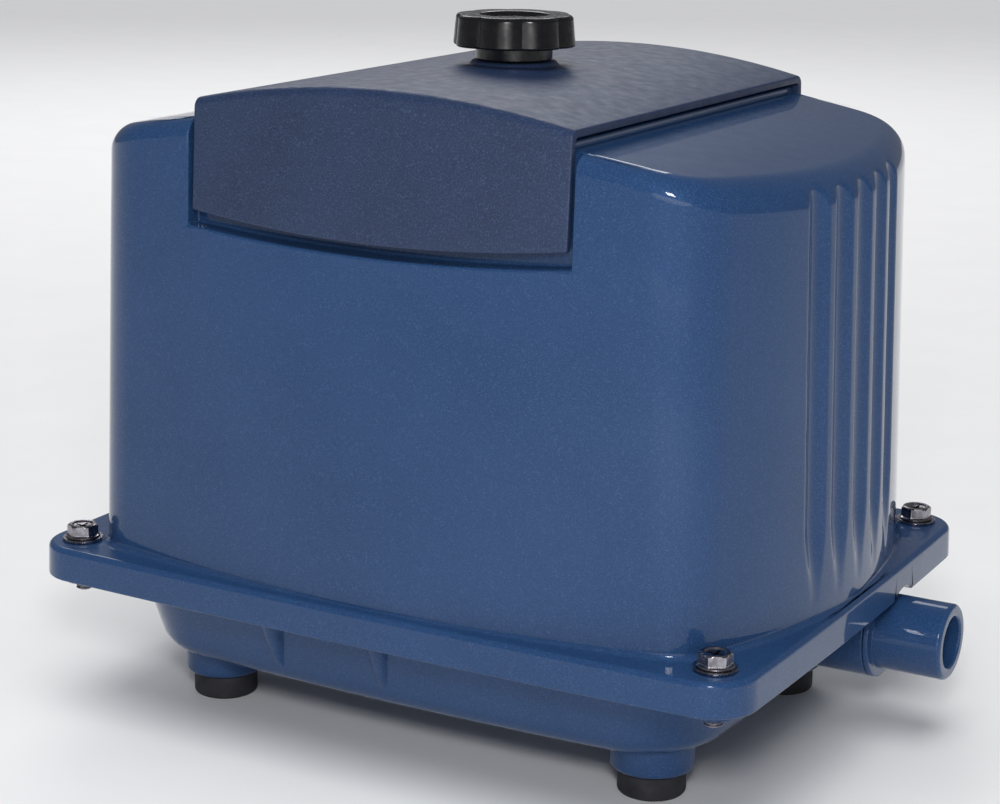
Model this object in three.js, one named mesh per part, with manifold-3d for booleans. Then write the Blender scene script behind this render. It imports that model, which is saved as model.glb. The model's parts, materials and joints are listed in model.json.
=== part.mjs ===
// Linear-motor diaphragm air pump for ponds and aquariums, in millimetres.
// +Z is up, +X points to the air outlet, and Z = 0 is the surface that the feet stand on.
import * as THREE from 'three';
import { mergeVertices } from 'three/addons/utils/BufferGeometryUtils.js';
import Module from 'manifold-3d';

const wasm = await Module();
wasm.setup();

// ---- Driving dimensions ---------------------------------------------------------------------
const GAP = 0.3; // running gap between pieces that touch

// Hood: a cast shell on a rectangular flange
const FLANGE_HALF_X = 115.7;
const FLANGE_HALF_Y = 87.8;
const FLANGE_TOP = 50.9;
const FLANGE_PLATE = 3.9; // thickness of the plate
const FLANGE_EDGE = 1.6; // chamfer round its top
const SKIRT_BOTTOM = 41;
const SKIRT_WALL = 4;
const FLANGE_ARCS = { end: 2800, side: 3100, corner: 13.5 };
const WALL_FOOT = 53; // height at which the wall's base size is given
const WALL_HALF_X = 113.3;
const WALL_HALF_Y = 83.7;
const DRAFT_X = 0.0322; // inward lean for each millimetre of height
const DRAFT_Y = 0.0449;
const WALL_ARCS = { end: 170, side: 560, corner: 19 }; // radii of its plan at the foot
const WALL_ARCS_HIGH = { side: 900, corner: 22 }; // and above WALL_STRAIGHT
const WALL_STRAIGHT = 150; // height up to which the sides get flatter
const FILLET = { least: 0.3, growth: 12, most: 2.1 }; // the wall's foot, wider towards the corners
const HOOD_WALL = 4.5;
const CROWN_TOP = 184.5;
const CROWN_RADIUS = 450;
const SHOULDER_Z = 172; // height at which the shoulder's plan is taken
const SHOULDER_SIDE = 5; // rounding of the top edge, front and back
const SHOULDER_END = 8; // and at the two ends
const FLUTE_PITCH = 14;
const FLUTE_COUNT = 5;
const FLUTE_RADIUS = 7.25;
const FLUTE_DEPTH = 2;
const FLUTE_FOOT = 62; // full depth down to here
const FLUTE_FADE = 54; // and faded out here

// Notches in the hood's front and back, for the cover's hanging panels, and the filter tray
const NOTCH_HALF_X = 60.4;
const NOTCH_WALL_Y = 72.2;
const NOTCH_SILL = 148; // height of the sill at its middle
const NOTCH_SILL_RISE = 2.8; // and how much higher it is at the notch's corners
const CURB_HALF_X = 57;
const CURB_RISE = 2;
const CURB_WALL = 4;
const TRAY_FLOOR = 164;
const TRAY_FLOOR_THICK = 4;
const BOSS_RADIUS = 9; // boss for the knob's stud
const AIR_INTAKE = { x: 32, radius: 10 }; // hole in the tray's floor

// Filter cover: a saddle with two hanging panels
const COVER_HALF_X = 59;
const COVER_TOP = 192.6;
const COVER_DROP = 6.6; // how much lower the top is at its side edges
const COVER_SKIN = 2.2;
const COVER_FOLD = 2.5; // rounding where the top turns down into a panel
const PANEL_FOOT = 151.5; // lower edge at the middle
const PANEL_FOOT_RISE = 3.7;
const PANEL_Y = 76.9; // outer face at the panel's lower corners
const PANEL_LEAN = 0.065;
const PANEL_BULGE = 2;
const COVER_RING = { top: 193.6, radius: 12.2, spread: 0.6 }; // cone round the knob's neck

// Hand knob and its stud
const KNOB_RADIUS = 18; // over the lobes, at the bottom
const KNOB_DRAFT = 0.7; // how much narrower it is at the top
const KNOB_LOBES = 8;
const KNOB_LOBE_RADIUS = 8.5;
const KNOB_LOBE_TURN = THREE.MathUtils.degToRad(14.4);
const KNOB_EDGE = 0.9;
const KNOB_BOTTOM = 197.8;
const KNOB_TOP = 206.8;
const KNOB_NECK_RADIUS = 11.15;
const KNOB_DISH = { radius: 10.2, depth: 1.2 };
const SEAL = { radius: 9, thick: 0.9 };
const STUD_RADIUS = 4;
const STUD_BOTTOM = 158;
const STUD_TOP = 203;

// Base tub, feet and flange bolts
const TUB_BOTTOM = 15.5;
const TUB_TOP = 42.6;
const TUB_FOOT = { halfX: 93, halfY: 67.7 };
const TUB_RIM = { halfX: 99.5, halfY: 74.2 };
const TUB_ARCS = { end: 600, side: 1100, corner: 24.5 };
const TUB_WALL = 3.5;
const TUB_EDGE = 6.5; // rounding of the lower edge
const LEDGE = 3; // step in the tub's wall that carries the tank lid
const LID_BOTTOM = 37.4;
const LID_TOP = 40.6;
const BASE_FLANGE_TOP = 45.2;
const GASKET_THICK = 1.2;
const RIB_X = [-36.9, -0.9];
const RIB = { foot: 23, radius: 4.2, sunk: 1.4 }; // half-cone, point down, sunk into the wall
const FOOT_X = 72.8;
const FOOT_Y = 46.2;
const FOOT_RADIUS = 9.6;
const FOOT_HEIGHT = 7;
const FOOT_SEAT = { radius: 5.6, height: 3.6 }; // counterbore for the screw's head
const COLLAR = { top: 12.3, waist: 11.9, waistZ: 9.5, foot: 10.2 }; // radii
const BOLT_X = 103.45;
const BOLT_Y = 74.9;
const BOLT_RADIUS = 2.5;
const BOLT_BOSS = { radius: 5.5, bottom: 38.5 };
const BOLT_TIP = 35.5;
const BOLT_FLATS = 8;
const BOLT_HEAD_TOP = 55.9;
const WASHER_RADIUS = 6;
const WASHER_THICK = 1;

// Air outlet, on the right-hand end
const OUTLET_Y = 33;
const OUTLET_Z = 29.4;
const OUTLET_END = 131;
const OUTLET_RADIUS = 11.35;
const OUTLET_BORE = 7.6;
const OUTLET_COLLAR = { radius: 14.3, length: 1.7 };
const OUTLET_RELIEF = 13.9; // radius of the notch over the outlet in the hood's skirt
const OUTLET_JOINT = 108.4; // where the nozzle butts the tub's boss
const TAIL_RADIUS = 9;
const TAIL_END = 99;

// Pump unit: driven rod along X between two electromagnets
const ROD_Z = 100;
const ROD_RADIUS = 4;
const ROD_END = 75.5;
const PLATE = { halfX: 38, halfY: 4.6, halfZ: 17 };
const MAGNET = { x: 17, halfX: 10, halfZ: 13 };
const CORE = { halfX: 36, tip: 6.6, yoke: 40, back: 52, halfZ: 16, legs: 8, outer: 26 };
const BOBBIN = { from: 10, to: 38, wall: 1.2, flange: 1.5, halfX: 17, halfZ: 25 };
const FRAME = { halfX: 62, halfY: 52, bottom: 58, thick: 3, upright: 4, uprightHalfY: 38, top: 140 };
const DIAPHRAGM_RADIUS = 34;
const DIAPHRAGM_OPENING = 28;
const HUB_RADIUS = 15;
const HEAD_RADIUS = 36;
const HEAD_START = FRAME.halfX + 2.6;
const HEAD_END = 84;
const HEAD_FLOOR = 78.5;
const VALVE_OFFSET = 16; // valve ports above and below the rod
const VALVE_PORT_RADIUS = 4;
const HEAD_COVER = { end: 96, halfY: 30, halfZ: 34, wall: 4 };
const FLAP = { halfY: 7, halfZ: 6, thick: 0.8 };
const SPIGOT = { outer: 4.4, inner: 3, length: 6, z: ROD_Z - 26 };
const HOSE = { outer: 7, inner: 5.3 };
const HOSE_FOOT = { x: 77, y: 48 };
const DAMPER = { x: 48, y: 34, radius: 7 };

// Small fittings
const GROMMET = { x: -60, z: 66, radius: 8.5, body: 6.5, bore: 3.6, proud: 3.4 };

// The model stands with its box centred on the origin
const MODEL_CENTRE_X = (OUTLET_END - FLANGE_HALF_X) / 2;

// ---- Solids ---------------------------------------------------------------------------------

// A closed solid from any closed geometry, turned the right way out.
function solid(geometry) {
  const bare = geometry.index ? geometry.toNonIndexed() : geometry.clone();
  bare.deleteAttribute('normal');
  bare.deleteAttribute('uv');
  const merged = mergeVertices(bare, 1e-4);
  const at = merged.attributes.position.array;
  const triangles = [];
  for (let i = 0; i < merged.index.count; i += 3) {
    const [a, b, c] = [0, 1, 2].map((k) => merged.index.array[i + k]);
    if (a !== b && b !== c && c !== a) triangles.push(a, b, c);
  }
  if (signedVolume(at, triangles) < 0) triangles.reverse();
  const mesh = new wasm.Mesh({
    numProp: 3,
    vertProperties: Float32Array.from(at),
    triVerts: Uint32Array.from(triangles),
  });
  return new wasm.Manifold(mesh);
}

function signedVolume(at, triangles) {
  let volume = 0;
  const corner = (i) => new THREE.Vector3().fromArray(at, 3 * i);
  for (let i = 0; i < triangles.length; i += 3) {
    const [a, b, c] = [0, 1, 2].map((k) => corner(triangles[i + k]));
    volume += a.dot(b.cross(c));
  }
  return volume;
}

function join(first, ...others) {
  return others.reduce((whole, other) => whole.add(other), first);
}

function cut(body, ...tools) {
  return tools.reduce((rest, tool) => rest.subtract(tool), body);
}

function box(x0, x1, y0, y1, z0, z1) {
  const geometry = new THREE.BoxGeometry(x1 - x0, y1 - y0, z1 - z0);
  return solid(geometry.translate((x0 + x1) / 2, (y0 + y1) / 2, (z0 + z1) / 2));
}

// Turns a geometry made along +Y so that it runs along the named axis.
function turned(geometry, axis) {
  if (axis === 'x') return geometry.rotateZ(-Math.PI / 2);
  if (axis === 'z') return geometry.rotateX(Math.PI / 2);
  return geometry;
}

// A round bar from one place to another along an axis; the other two coordinates come from centre.
function bar(axis, from, to, centre, radius, steps = 24) {
  const geometry = turned(new THREE.CylinderGeometry(radius, radius, to - from, steps), axis);
  const middle = new THREE.Vector3(...centre);
  middle[axis] = (from + to) / 2;
  return solid(geometry.translate(middle.x, middle.y, middle.z));
}

// A turned solid: profile points are [radius, place along the axis], in a closed loop.
function turning(axis, profile, centre, steps = 24) {
  const points = [...profile, profile[0]].map(([r, h]) => new THREE.Vector2(r, h));
  const geometry = turned(new THREE.LatheGeometry(points, steps), axis);
  return solid(geometry.translate(...centre));
}

// A tapered round bar between two points.
function taper(start, end, startRadius, endRadius, steps = 12) {
  const from = new THREE.Vector3(...start);
  const to = new THREE.Vector3(...end);
  const length = from.distanceTo(to);
  const geometry = new THREE.CylinderGeometry(endRadius, startRadius, length, steps);
  const up = new THREE.Vector3(0, 1, 0);
  const lean = new THREE.Quaternion().setFromUnitVectors(up, to.clone().sub(from).normalize());
  geometry.applyQuaternion(lean);
  const middle = from.add(to).multiplyScalar(0.5);
  return solid(geometry.translate(middle.x, middle.y, middle.z));
}

// Rings of equal length, stacked into a closed skin. Point i of a ring pairs with point -i, so a
// cap is a row of strips between the paired points.
function loft(rings) {
  const count = rings[0].length;
  const positions = rings.flat(2);
  const index = [];
  for (let k = 0; k + 1 < rings.length; k += 1) {
    for (let i = 0; i < count; i += 1) {
      const j = (i + 1) % count;
      const [a, b] = [k * count + i, k * count + j];
      index.push(a, b, b + count, a, b + count, a + count);
    }
  }
  const last = (rings.length - 1) * count;
  for (let i = 0; i < count / 2; i += 1) {
    const [a, b] = [i, i + 1];
    const [c, d] = [count - i - 1, (count - i) % count];
    index.push(a, c, b, a, d, c);
    index.push(last + a, last + b, last + c, last + a, last + c, last + d);
  }
  const geometry = new THREE.BufferGeometry();
  geometry.setAttribute('position', new THREE.Float32BufferAttribute(positions, 3));
  geometry.setIndex(index);
  return solid(geometry);
}

// A flat outline in X and Z, extruded along Y.
function slab(outline, y0, y1) {
  const shape = new THREE.Shape(outline.map(([x, z]) => new THREE.Vector2(x, z)));
  const geometry = new THREE.ExtrudeGeometry(shape, { depth: y1 - y0, bevelEnabled: false });
  return solid(geometry.rotateX(Math.PI / 2).translate(0, y1, 0));
}

// Centre of the arc of the given radius that rounds the corner between an end arc and a side arc.
function cornerCentre(halfX, halfY, { end, side, corner }) {
  const a = new THREE.Vector2(halfX - end, 0);
  const b = new THREE.Vector2(0, halfY - side);
  const [reachA, reachB] = [end - corner, side - corner];
  const span = a.distanceTo(b);
  const along = (reachA ** 2 - reachB ** 2 + span ** 2) / (2 * span);
  const out = Math.sqrt(reachA ** 2 - along ** 2);
  const way = b.clone().sub(a).normalize();
  const across = new THREE.Vector2(-way.y, way.x).multiplyScalar(out);
  const candidates = [1, -1].map((s) => a.clone().addScaledVector(way, along).addScaledVector(across, s));
  return candidates.find((p) => p.x > 0 && p.y > 0);
}

const STEPS = { end: 3, corner: 3, side: 2 };

// Points and outward normals round a plan of four arcs and four rounded corners, from +X
// anticlockwise. It is symmetric about X and Y, so point i mirrors point -i.
function plan(halfX, halfY, arcs) {
  const centre = cornerCentre(halfX, halfY, arcs);
  const endTurn = Math.atan2(centre.y, centre.x - (halfX - arcs.end));
  const sideTurn = Math.atan2(centre.y - (halfY - arcs.side), centre.x);
  const quarter = [];
  const sweep = (cx, cy, radius, from, to, steps) => {
    for (let i = 0; i < steps; i += 1) {
      const turn = from + ((to - from) * i) / steps;
      const [nx, ny] = [Math.cos(turn), Math.sin(turn)];
      quarter.push({ x: cx + radius * nx, y: cy + radius * ny, nx, ny });
    }
  };
  sweep(halfX - arcs.end, 0, arcs.end, 0, endTurn, STEPS.end);
  sweep(centre.x, centre.y, arcs.corner, endTurn, sideTurn, STEPS.corner);
  sweep(0, halfY - arcs.side, arcs.side, sideTurn, Math.PI / 2, STEPS.side);
  const top = { x: 0, y: halfY, nx: 0, ny: 1 };
  const half = [...quarter, top];
  for (const p of [...quarter].reverse()) half.push({ x: -p.x, y: p.y, nx: -p.nx, ny: p.ny });
  const lower = half.slice(1, -1).reverse();
  return [...half, ...lower.map((p) => ({ x: p.x, y: -p.y, nx: p.nx, ny: -p.ny }))];
}

// One ring of a loft: the plan, drawn in by an inset, at a height that may vary round the ring.
function ring(outline, height, inset = 0) {
  return outline.map((p) => {
    const draw = typeof inset === 'function' ? inset(p) : inset;
    const [x, y] = [p.x - draw * p.nx, p.y - draw * p.ny];
    return [x, y, typeof height === 'function' ? height(x, p) : height];
  });
}

// ---- Hood -----------------------------------------------------------------------------------

// How far a height is from the wall's foot, 0, to WALL_STRAIGHT, 1.
const highShare = (z) => THREE.MathUtils.clamp((z - WALL_FOOT) / (WALL_STRAIGHT - WALL_FOOT), 0, 1);

// Radius of the wall's side arc, whose curvature changes evenly up to WALL_STRAIGHT.
function sideArc(z) {
  return 1 / THREE.MathUtils.lerp(1 / WALL_ARCS.side, 1 / WALL_ARCS_HIGH.side, highShare(z));
}

function wallPlan(z, inset = 0) {
  const rise = z - WALL_FOOT;
  const corner = THREE.MathUtils.lerp(WALL_ARCS.corner, WALL_ARCS_HIGH.corner, highShare(z));
  const arcs = { end: WALL_ARCS.end - inset, side: sideArc(z) - inset, corner: corner - inset };
  return plan(WALL_HALF_X - DRAFT_X * rise - inset, WALL_HALF_Y - DRAFT_Y * rise - inset, arcs);
}

const crownAt = (x) => CROWN_TOP - (x * x) / (2 * CROWN_RADIUS);

// Radius of the fillet at the wall's foot, which grows from the middle of each side to the corners.
const fillet = (p) => Math.min(FILLET.most, FILLET.least + FILLET.growth * Math.abs(p.nx * p.ny));

// Rings below the shoulder: the outer skin flares into the fillet on the flange, and the inner
// skin runs straight down through it.
function hoodFoot(inset) {
  if (inset > 0) return [ring(wallPlan(SKIRT_BOTTOM - 1, inset), SKIRT_BOTTOM - 1)];
  const foot = wallPlan(WALL_FOOT);
  return [
    ring(foot, FLANGE_TOP - 1, (p) => -fillet(p)),
    ring(foot, FLANGE_TOP, (p) => -fillet(p)),
    ring(foot, (x, p) => FLANGE_TOP + 0.3 * fillet(p), (p) => -0.3 * fillet(p)),
    ring(foot, (x, p) => FLANGE_TOP + fillet(p)),
    ring(wallPlan(WALL_FOOT + 2), WALL_FOOT + 2),
  ];
}

// The lofted body, whose top edge is rounded by a radius that grows towards the ends.
function hoodBody(inset) {
  const rings = [...hoodFoot(inset), ring(wallPlan(WALL_STRAIGHT, inset), WALL_STRAIGHT)];
  const outline = wallPlan(SHOULDER_Z, inset);
  const rounding = (p) => SHOULDER_SIDE + (SHOULDER_END - SHOULDER_SIDE) * p.nx ** 2;
  for (const turn of [0, 30, 60, 90].map(THREE.MathUtils.degToRad)) {
    const drawn = (p) => rounding(p) * (1 - Math.cos(turn));
    const height = (x, p) => crownAt(x) - inset - rounding(p) * (1 - Math.sin(turn));
    rings.push(ring(outline, height, drawn));
  }
  return loft(rings);
}

function flute(side, y) {
  const reach = WALL_ARCS.end - Math.sqrt(WALL_ARCS.end ** 2 - y * y);
  const offset = FLUTE_RADIUS - FLUTE_DEPTH - reach;
  const wallX = (z) => WALL_HALF_X - DRAFT_X * (z - WALL_FOOT) + offset;
  const start = [side * wallX(FLUTE_FOOT), y, FLUTE_FOOT];
  const end = [side * wallX(CROWN_TOP), y, CROWN_TOP];
  const fade = [side * (wallX(FLUTE_FADE) + FLUTE_DEPTH), y, FLUTE_FADE];
  const groove = taper(start, end, FLUTE_RADIUS, FLUTE_RADIUS, 10);
  return join(groove, taper(fade, start, FLUTE_RADIUS, FLUTE_RADIUS, 10));
}

// Curved strip across X: an outline in X and Z under or over a shallow arc.
function arcOutline(halfX, arc, flatZ, steps = 8) {
  const points = [];
  for (let i = 0; i <= steps; i += 1) {
    const x = halfX * (1 - (2 * i) / steps);
    points.push([x, arc(x)]);
  }
  return [...points, [-halfX, flatZ], [halfX, flatZ]];
}

const sillAt = (x) => NOTCH_SILL + NOTCH_SILL_RISE * (x / NOTCH_HALF_X) ** 2;

function notch(side) {
  const outline = arcOutline(NOTCH_HALF_X, sillAt, CROWN_TOP + 20);
  const [near, far] = [NOTCH_WALL_Y, FLANGE_HALF_Y + 5];
  return side > 0 ? slab(outline, near, far) : slab(outline, -far, -near);
}

function hood() {
  const flangeOutline = plan(FLANGE_HALF_X, FLANGE_HALF_Y, FLANGE_ARCS);
  const flange = loft([
    ring(flangeOutline, SKIRT_BOTTOM),
    ring(flangeOutline, FLANGE_TOP - FLANGE_EDGE),
    ring(flangeOutline, FLANGE_TOP, FLANGE_EDGE),
  ]);
  const pocket = loft([
    ring(flangeOutline, SKIRT_BOTTOM - 1, SKIRT_WALL),
    ring(flangeOutline, FLANGE_TOP - FLANGE_PLATE, SKIRT_WALL),
  ]);
  const notchTray = NOTCH_WALL_Y - CURB_WALL;
  const keep = TRAY_FLOOR - TRAY_FLOOR_THICK;
  const web = NOTCH_HALF_X + HOOD_WALL;
  const cavity = cut(
    hoodBody(HOOD_WALL),
    box(-web, web, -FLANGE_HALF_Y, FLANGE_HALF_Y, keep, CROWN_TOP),
    box(-web, web, notchTray, FLANGE_HALF_Y, NOTCH_SILL - HOOD_WALL, CROWN_TOP),
    box(-web, web, -FLANGE_HALF_Y, -notchTray, NOTCH_SILL - HOOD_WALL, CROWN_TOP),
  );
  const curbTop = (x) => crownAt(x) + CURB_RISE;
  const curb = slab(arcOutline(CURB_HALF_X, curbTop, TRAY_FLOOR), -NOTCH_WALL_Y, NOTCH_WALL_Y);
  const tray = box(
    CURB_WALL - CURB_HALF_X, CURB_HALF_X - CURB_WALL, -notchTray, notchTray, TRAY_FLOOR, CROWN_TOP + 10,
  );
  const bossTop = COVER_TOP - COVER_SKIN - 2 * GAP;
  const boss = bar('z', keep, bossTop, [0, 0, 0], BOSS_RADIUS);
  let body = cut(hoodBody(0), notch(1), notch(-1));
  for (let i = 0; i < FLUTE_COUNT; i += 1) {
    const y = (i - (FLUTE_COUNT - 1) / 2) * FLUTE_PITCH;
    body = cut(body, flute(1, y), flute(-1, y));
  }
  body = cut(join(body, flange), pocket, cavity);
  body = join(cut(join(body, curb), tray), boss);
  const studHole = bar('z', keep - 5, bossTop + 1, [0, 0, 0], STUD_RADIUS + GAP);
  const intake = bar('z', keep - 5, TRAY_FLOOR + 5, [AIR_INTAKE.x, 0, 0], AIR_INTAKE.radius);
  const skirtFace = FLANGE_HALF_X - SKIRT_WALL;
  const relief = bar('x', skirtFace - 2, FLANGE_HALF_X + 2, [0, OUTLET_Y, OUTLET_Z], OUTLET_RELIEF, 32);
  const cableHole = bar('y', 70, 95, [GROMMET.x, 0, GROMMET.z], GROMMET.body + GAP, 16);
  return cut(body, studHole, intake, relief, cableHole, ...boltHoles());
}

function atCorners(x, y, make) {
  return [[-x, -y], [x, -y], [x, y], [-x, y]].map(([cx, cy]) => make(cx, cy));
}

function boltHoles() {
  return atCorners(BOLT_X, BOLT_Y, (x, y) => bar('z', 35, 60, [x, y, 0], BOLT_RADIUS + GAP, 12));
}

// ---- Filter cover and knob --------------------------------------------------------------------

// One section of the cover at x: a closed loop in Y and Z that starts in the middle of the front
// panel's lower edge, goes round the outside, and comes back round the inside.
function coverSection(x) {
  const share = (x / COVER_HALF_X) ** 2;
  const top = COVER_TOP - COVER_DROP * share;
  const foot = PANEL_FOOT + PANEL_FOOT_RISE * share;
  const bulge = PANEL_BULGE * (1 - share);
  const face = (z) => PANEL_Y - PANEL_LEAN * (z - PANEL_FOOT - PANEL_FOOT_RISE) + bulge;
  const edge = (skin, fold) => {
    const points = [[face(foot) - skin, foot]];
    for (const turn of [0, 30, 60, 90].map(THREE.MathUtils.degToRad)) {
      const z = top - skin - fold * (1 - Math.sin(turn));
      points.push([face(z) - skin - fold * (1 - Math.cos(turn)), z]);
    }
    return points;
  };
  const outer = edge(0, COVER_FOLD);
  const inner = edge(COVER_SKIN, COVER_FOLD / 2);
  const front = (points) => points.map(([y, z]) => [x, -y, z]);
  const rear = (points) => points.map(([y, z]) => [x, y, z]);
  const footMiddle = face(foot) - COVER_SKIN / 2;
  return [
    [x, -footMiddle, foot], ...front(outer), ...rear(outer).reverse(),
    [x, footMiddle, foot], ...rear(inner), ...front(inner).reverse(),
  ];
}

function filterCover() {
  const stations = 8;
  const rings = [];
  for (let i = 0; i <= stations; i += 1) {
    rings.push(coverSection(COVER_HALF_X * ((2 * i) / stations - 1)));
  }
  const ringBase = COVER_TOP - COVER_SKIN / 2;
  const wide = COVER_RING.radius + COVER_RING.spread * (COVER_RING.top - ringBase);
  const raised = taper([0, 0, ringBase], [0, 0, COVER_RING.top], wide, COVER_RING.radius, 24);
  const hole = bar('z', COVER_TOP - 10, COVER_TOP + 5, [0, 0, 0], STUD_RADIUS + GAP);
  return cut(join(loft(rings), raised), hole);
}

function filterElement() {
  const [halfX, halfY] = [CURB_HALF_X - CURB_WALL - 1, NOTCH_WALL_Y - CURB_WALL - 1];
  const foam = box(-halfX, halfX, -halfY, halfY, TRAY_FLOOR + GAP, crownAt(CURB_HALF_X) + 1);
  return cut(foam, bar('z', 160, 190, [0, 0, 0], BOSS_RADIUS + 1));
}

// One ring of the star knob, whose lobes are arcs of circles centred inside the rim. Drawing it
// in by an inset also makes its creases shallower.
function knobRing(z, inset) {
  const stepsPerLobe = 6;
  const lobe = (2 * Math.PI) / KNOB_LOBES;
  const orbit = KNOB_RADIUS - KNOB_LOBE_RADIUS - inset;
  const points = [];
  for (let i = 0; i < KNOB_LOBES * stepsPerLobe; i += 1) {
    const turn = (i * lobe) / stepsPerLobe;
    const within = turn - lobe * Math.round(turn / lobe);
    const across = orbit * Math.sin(within);
    const reach = orbit * Math.cos(within) + Math.sqrt(KNOB_LOBE_RADIUS ** 2 - across ** 2);
    const place = turn + KNOB_LOBE_TURN;
    points.push([reach * Math.cos(place), reach * Math.sin(place), z]);
  }
  return points;
}

function coverKnob() {
  const grip = loft([
    knobRing(KNOB_BOTTOM, KNOB_EDGE),
    knobRing(KNOB_BOTTOM + KNOB_EDGE, 0),
    knobRing(KNOB_TOP - KNOB_EDGE, KNOB_DRAFT),
    knobRing(KNOB_TOP, KNOB_DRAFT + KNOB_EDGE),
  ]);
  const neckBottom = COVER_RING.top + GAP;
  const neck = bar('z', neckBottom, KNOB_BOTTOM + 1, [0, 0, 0], KNOB_NECK_RADIUS);
  const dish = bar('z', KNOB_TOP - KNOB_DISH.depth, KNOB_TOP + 1, [0, 0, 0], KNOB_DISH.radius);
  const socket = bar('z', neckBottom - 1, STUD_TOP + GAP, [0, 0, 0], STUD_RADIUS + GAP);
  const seat = bar('z', neckBottom - 1, neckBottom + SEAL.thick + GAP, [0, 0, 0], SEAL.radius + GAP);
  return cut(join(grip, neck), dish, socket, seat);
}

// A flat ring let into the underside of the knob's neck.
function knobSeal() {
  const low = COVER_RING.top + GAP;
  const high = low + SEAL.thick;
  const inner = STUD_RADIUS + GAP;
  return turning('z', [[inner, low], [SEAL.radius, low], [SEAL.radius, high], [inner, high]], [0, 0, 0]);
}

// ---- Base, feet and bolts ---------------------------------------------------------------------

function tubPlan(z, inset = 0) {
  const share = (z - TUB_BOTTOM) / (TUB_TOP - TUB_BOTTOM);
  const halfX = THREE.MathUtils.lerp(TUB_FOOT.halfX, TUB_RIM.halfX, share);
  const halfY = THREE.MathUtils.lerp(TUB_FOOT.halfY, TUB_RIM.halfY, share);
  const { end, side, corner } = TUB_ARCS;
  const arcs = { end: end - inset, side: side - inset, corner: corner - inset };
  return plan(halfX - inset, halfY - inset, arcs);
}

function tubBody() {
  const rings = [0, 30, 60, 90].map((degrees) => {
    const turn = THREE.MathUtils.degToRad(degrees);
    const z = TUB_BOTTOM + TUB_EDGE * (1 - Math.cos(turn));
    return ring(tubPlan(z), z, TUB_EDGE * (1 - Math.sin(turn)));
  });
  return loft([...rings, ring(tubPlan(TUB_TOP), TUB_TOP + 1)]);
}

// A half-cone down the tub's front wall, widest under the flange.
function tubRib(x) {
  const wallY = (z) => {
    const share = (z - TUB_BOTTOM) / (TUB_TOP - TUB_BOTTOM);
    return THREE.MathUtils.lerp(TUB_FOOT.halfY, TUB_RIM.halfY, share);
  };
  const point = [x, -wallY(RIB.foot), RIB.foot];
  const top = [x, RIB.sunk - wallY(TUB_TOP), TUB_TOP + 0.5];
  return taper(point, top, 0.3, RIB.radius, 16);
}

// A foot's collar, rounded off above the rubber.
function footCollar(x, y) {
  const low = FOOT_HEIGHT + GAP;
  const high = TUB_BOTTOM + TUB_WALL;
  const profile = [
    [0, low], [COLLAR.foot, low], [COLLAR.waist - 0.4, low + 0.9], [COLLAR.waist, COLLAR.waistZ],
    [COLLAR.top, high], [0, high],
  ];
  return turning('z', profile, [x, y, 0], 20);
}

function baseTub() {
  const flangePlan = plan(FLANGE_HALF_X, FLANGE_HALF_Y, FLANGE_ARCS);
  const flangeInset = SKIRT_WALL + GAP;
  const flange = loft([
    ring(flangePlan, TUB_TOP, flangeInset),
    ring(flangePlan, BASE_FLANGE_TOP, flangeInset),
  ]);
  const floor = TUB_BOTTOM + TUB_WALL;
  const low = TUB_WALL + LEDGE;
  const tank = loft([
    ring(tubPlan(floor), floor, low + 1),
    ring(tubPlan(LID_BOTTOM), LID_BOTTOM - GAP, low),
  ]);
  const mouth = loft([
    ring(tubPlan(LID_BOTTOM), LID_BOTTOM - GAP, TUB_WALL),
    ring(tubPlan(LID_BOTTOM), BASE_FLANGE_TOP + 1, TUB_WALL),
  ]);
  const place = [0, OUTLET_Y, OUTLET_Z];
  const boss = bar('x', TUB_FOOT.halfX - 6, OUTLET_JOINT, place, OUTLET_COLLAR.radius, 32);
  const bores = [
    bar('x', OUTLET_JOINT, FLANGE_HALF_X, place, OUTLET_COLLAR.radius + GAP, 32),
    bar('x', TUB_FOOT.halfX - 20, TUB_RIM.halfX + 5, place, OUTLET_BORE),
    bar('x', TAIL_END - GAP, OUTLET_JOINT + 1, place, TAIL_RADIUS + GAP),
    ...atCorners(FOOT_X, FOOT_Y, (x, y) => bar('z', 0, FOOT_HEIGHT + 9, [x, y, 0], BOLT_RADIUS + GAP, 12)),
  ];
  const bosses = atCorners(BOLT_X, BOLT_Y, (x, y) =>
    bar('z', BOLT_BOSS.bottom, TUB_TOP + 1, [x, y, 0], BOLT_BOSS.radius, 12));
  const body = cut(join(tubBody(), flange, boss, ...RIB_X.map(tubRib), ...bosses), tank, mouth);
  return cut(join(body, ...atCorners(FOOT_X, FOOT_Y, footCollar)), ...bores, ...boltHoles());
}

function housingGasket() {
  const flangePlan = plan(FLANGE_HALF_X, FLANGE_HALF_Y, FLANGE_ARCS);
  const low = BASE_FLANGE_TOP + GAP;
  const high = low + GASKET_THICK;
  const sheet = loft([ring(flangePlan, low, SKIRT_WALL + 1), ring(flangePlan, high, SKIRT_WALL + 1)]);
  const window = loft([ring(tubPlan(TUB_TOP), low - 1, -1), ring(tubPlan(TUB_TOP), high + 1, -1)]);
  return cut(sheet, window, ...boltHoles());
}

function flangeBolt(x, y) {
  const headBottom = FLANGE_TOP + WASHER_THICK + 2 * GAP;
  const hexRadius = BOLT_FLATS / Math.sqrt(3);
  const head = bar('z', headBottom + 0.9, BOLT_HEAD_TOP, [x, y, 0], hexRadius, 6);
  const rim = bar('z', headBottom, headBottom + 1, [x, y, 0], WASHER_RADIUS - 1, 12);
  const profile = [
    [0, BOLT_TIP], [1.7, BOLT_TIP + 0.5], [BOLT_RADIUS, BOLT_TIP + 1.8],
    [BOLT_RADIUS, headBottom + 0.5], [0, headBottom + 0.5],
  ];
  const shank = turning('z', profile, [x, y, 0], 10);
  return join(head, rim, shank);
}

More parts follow.
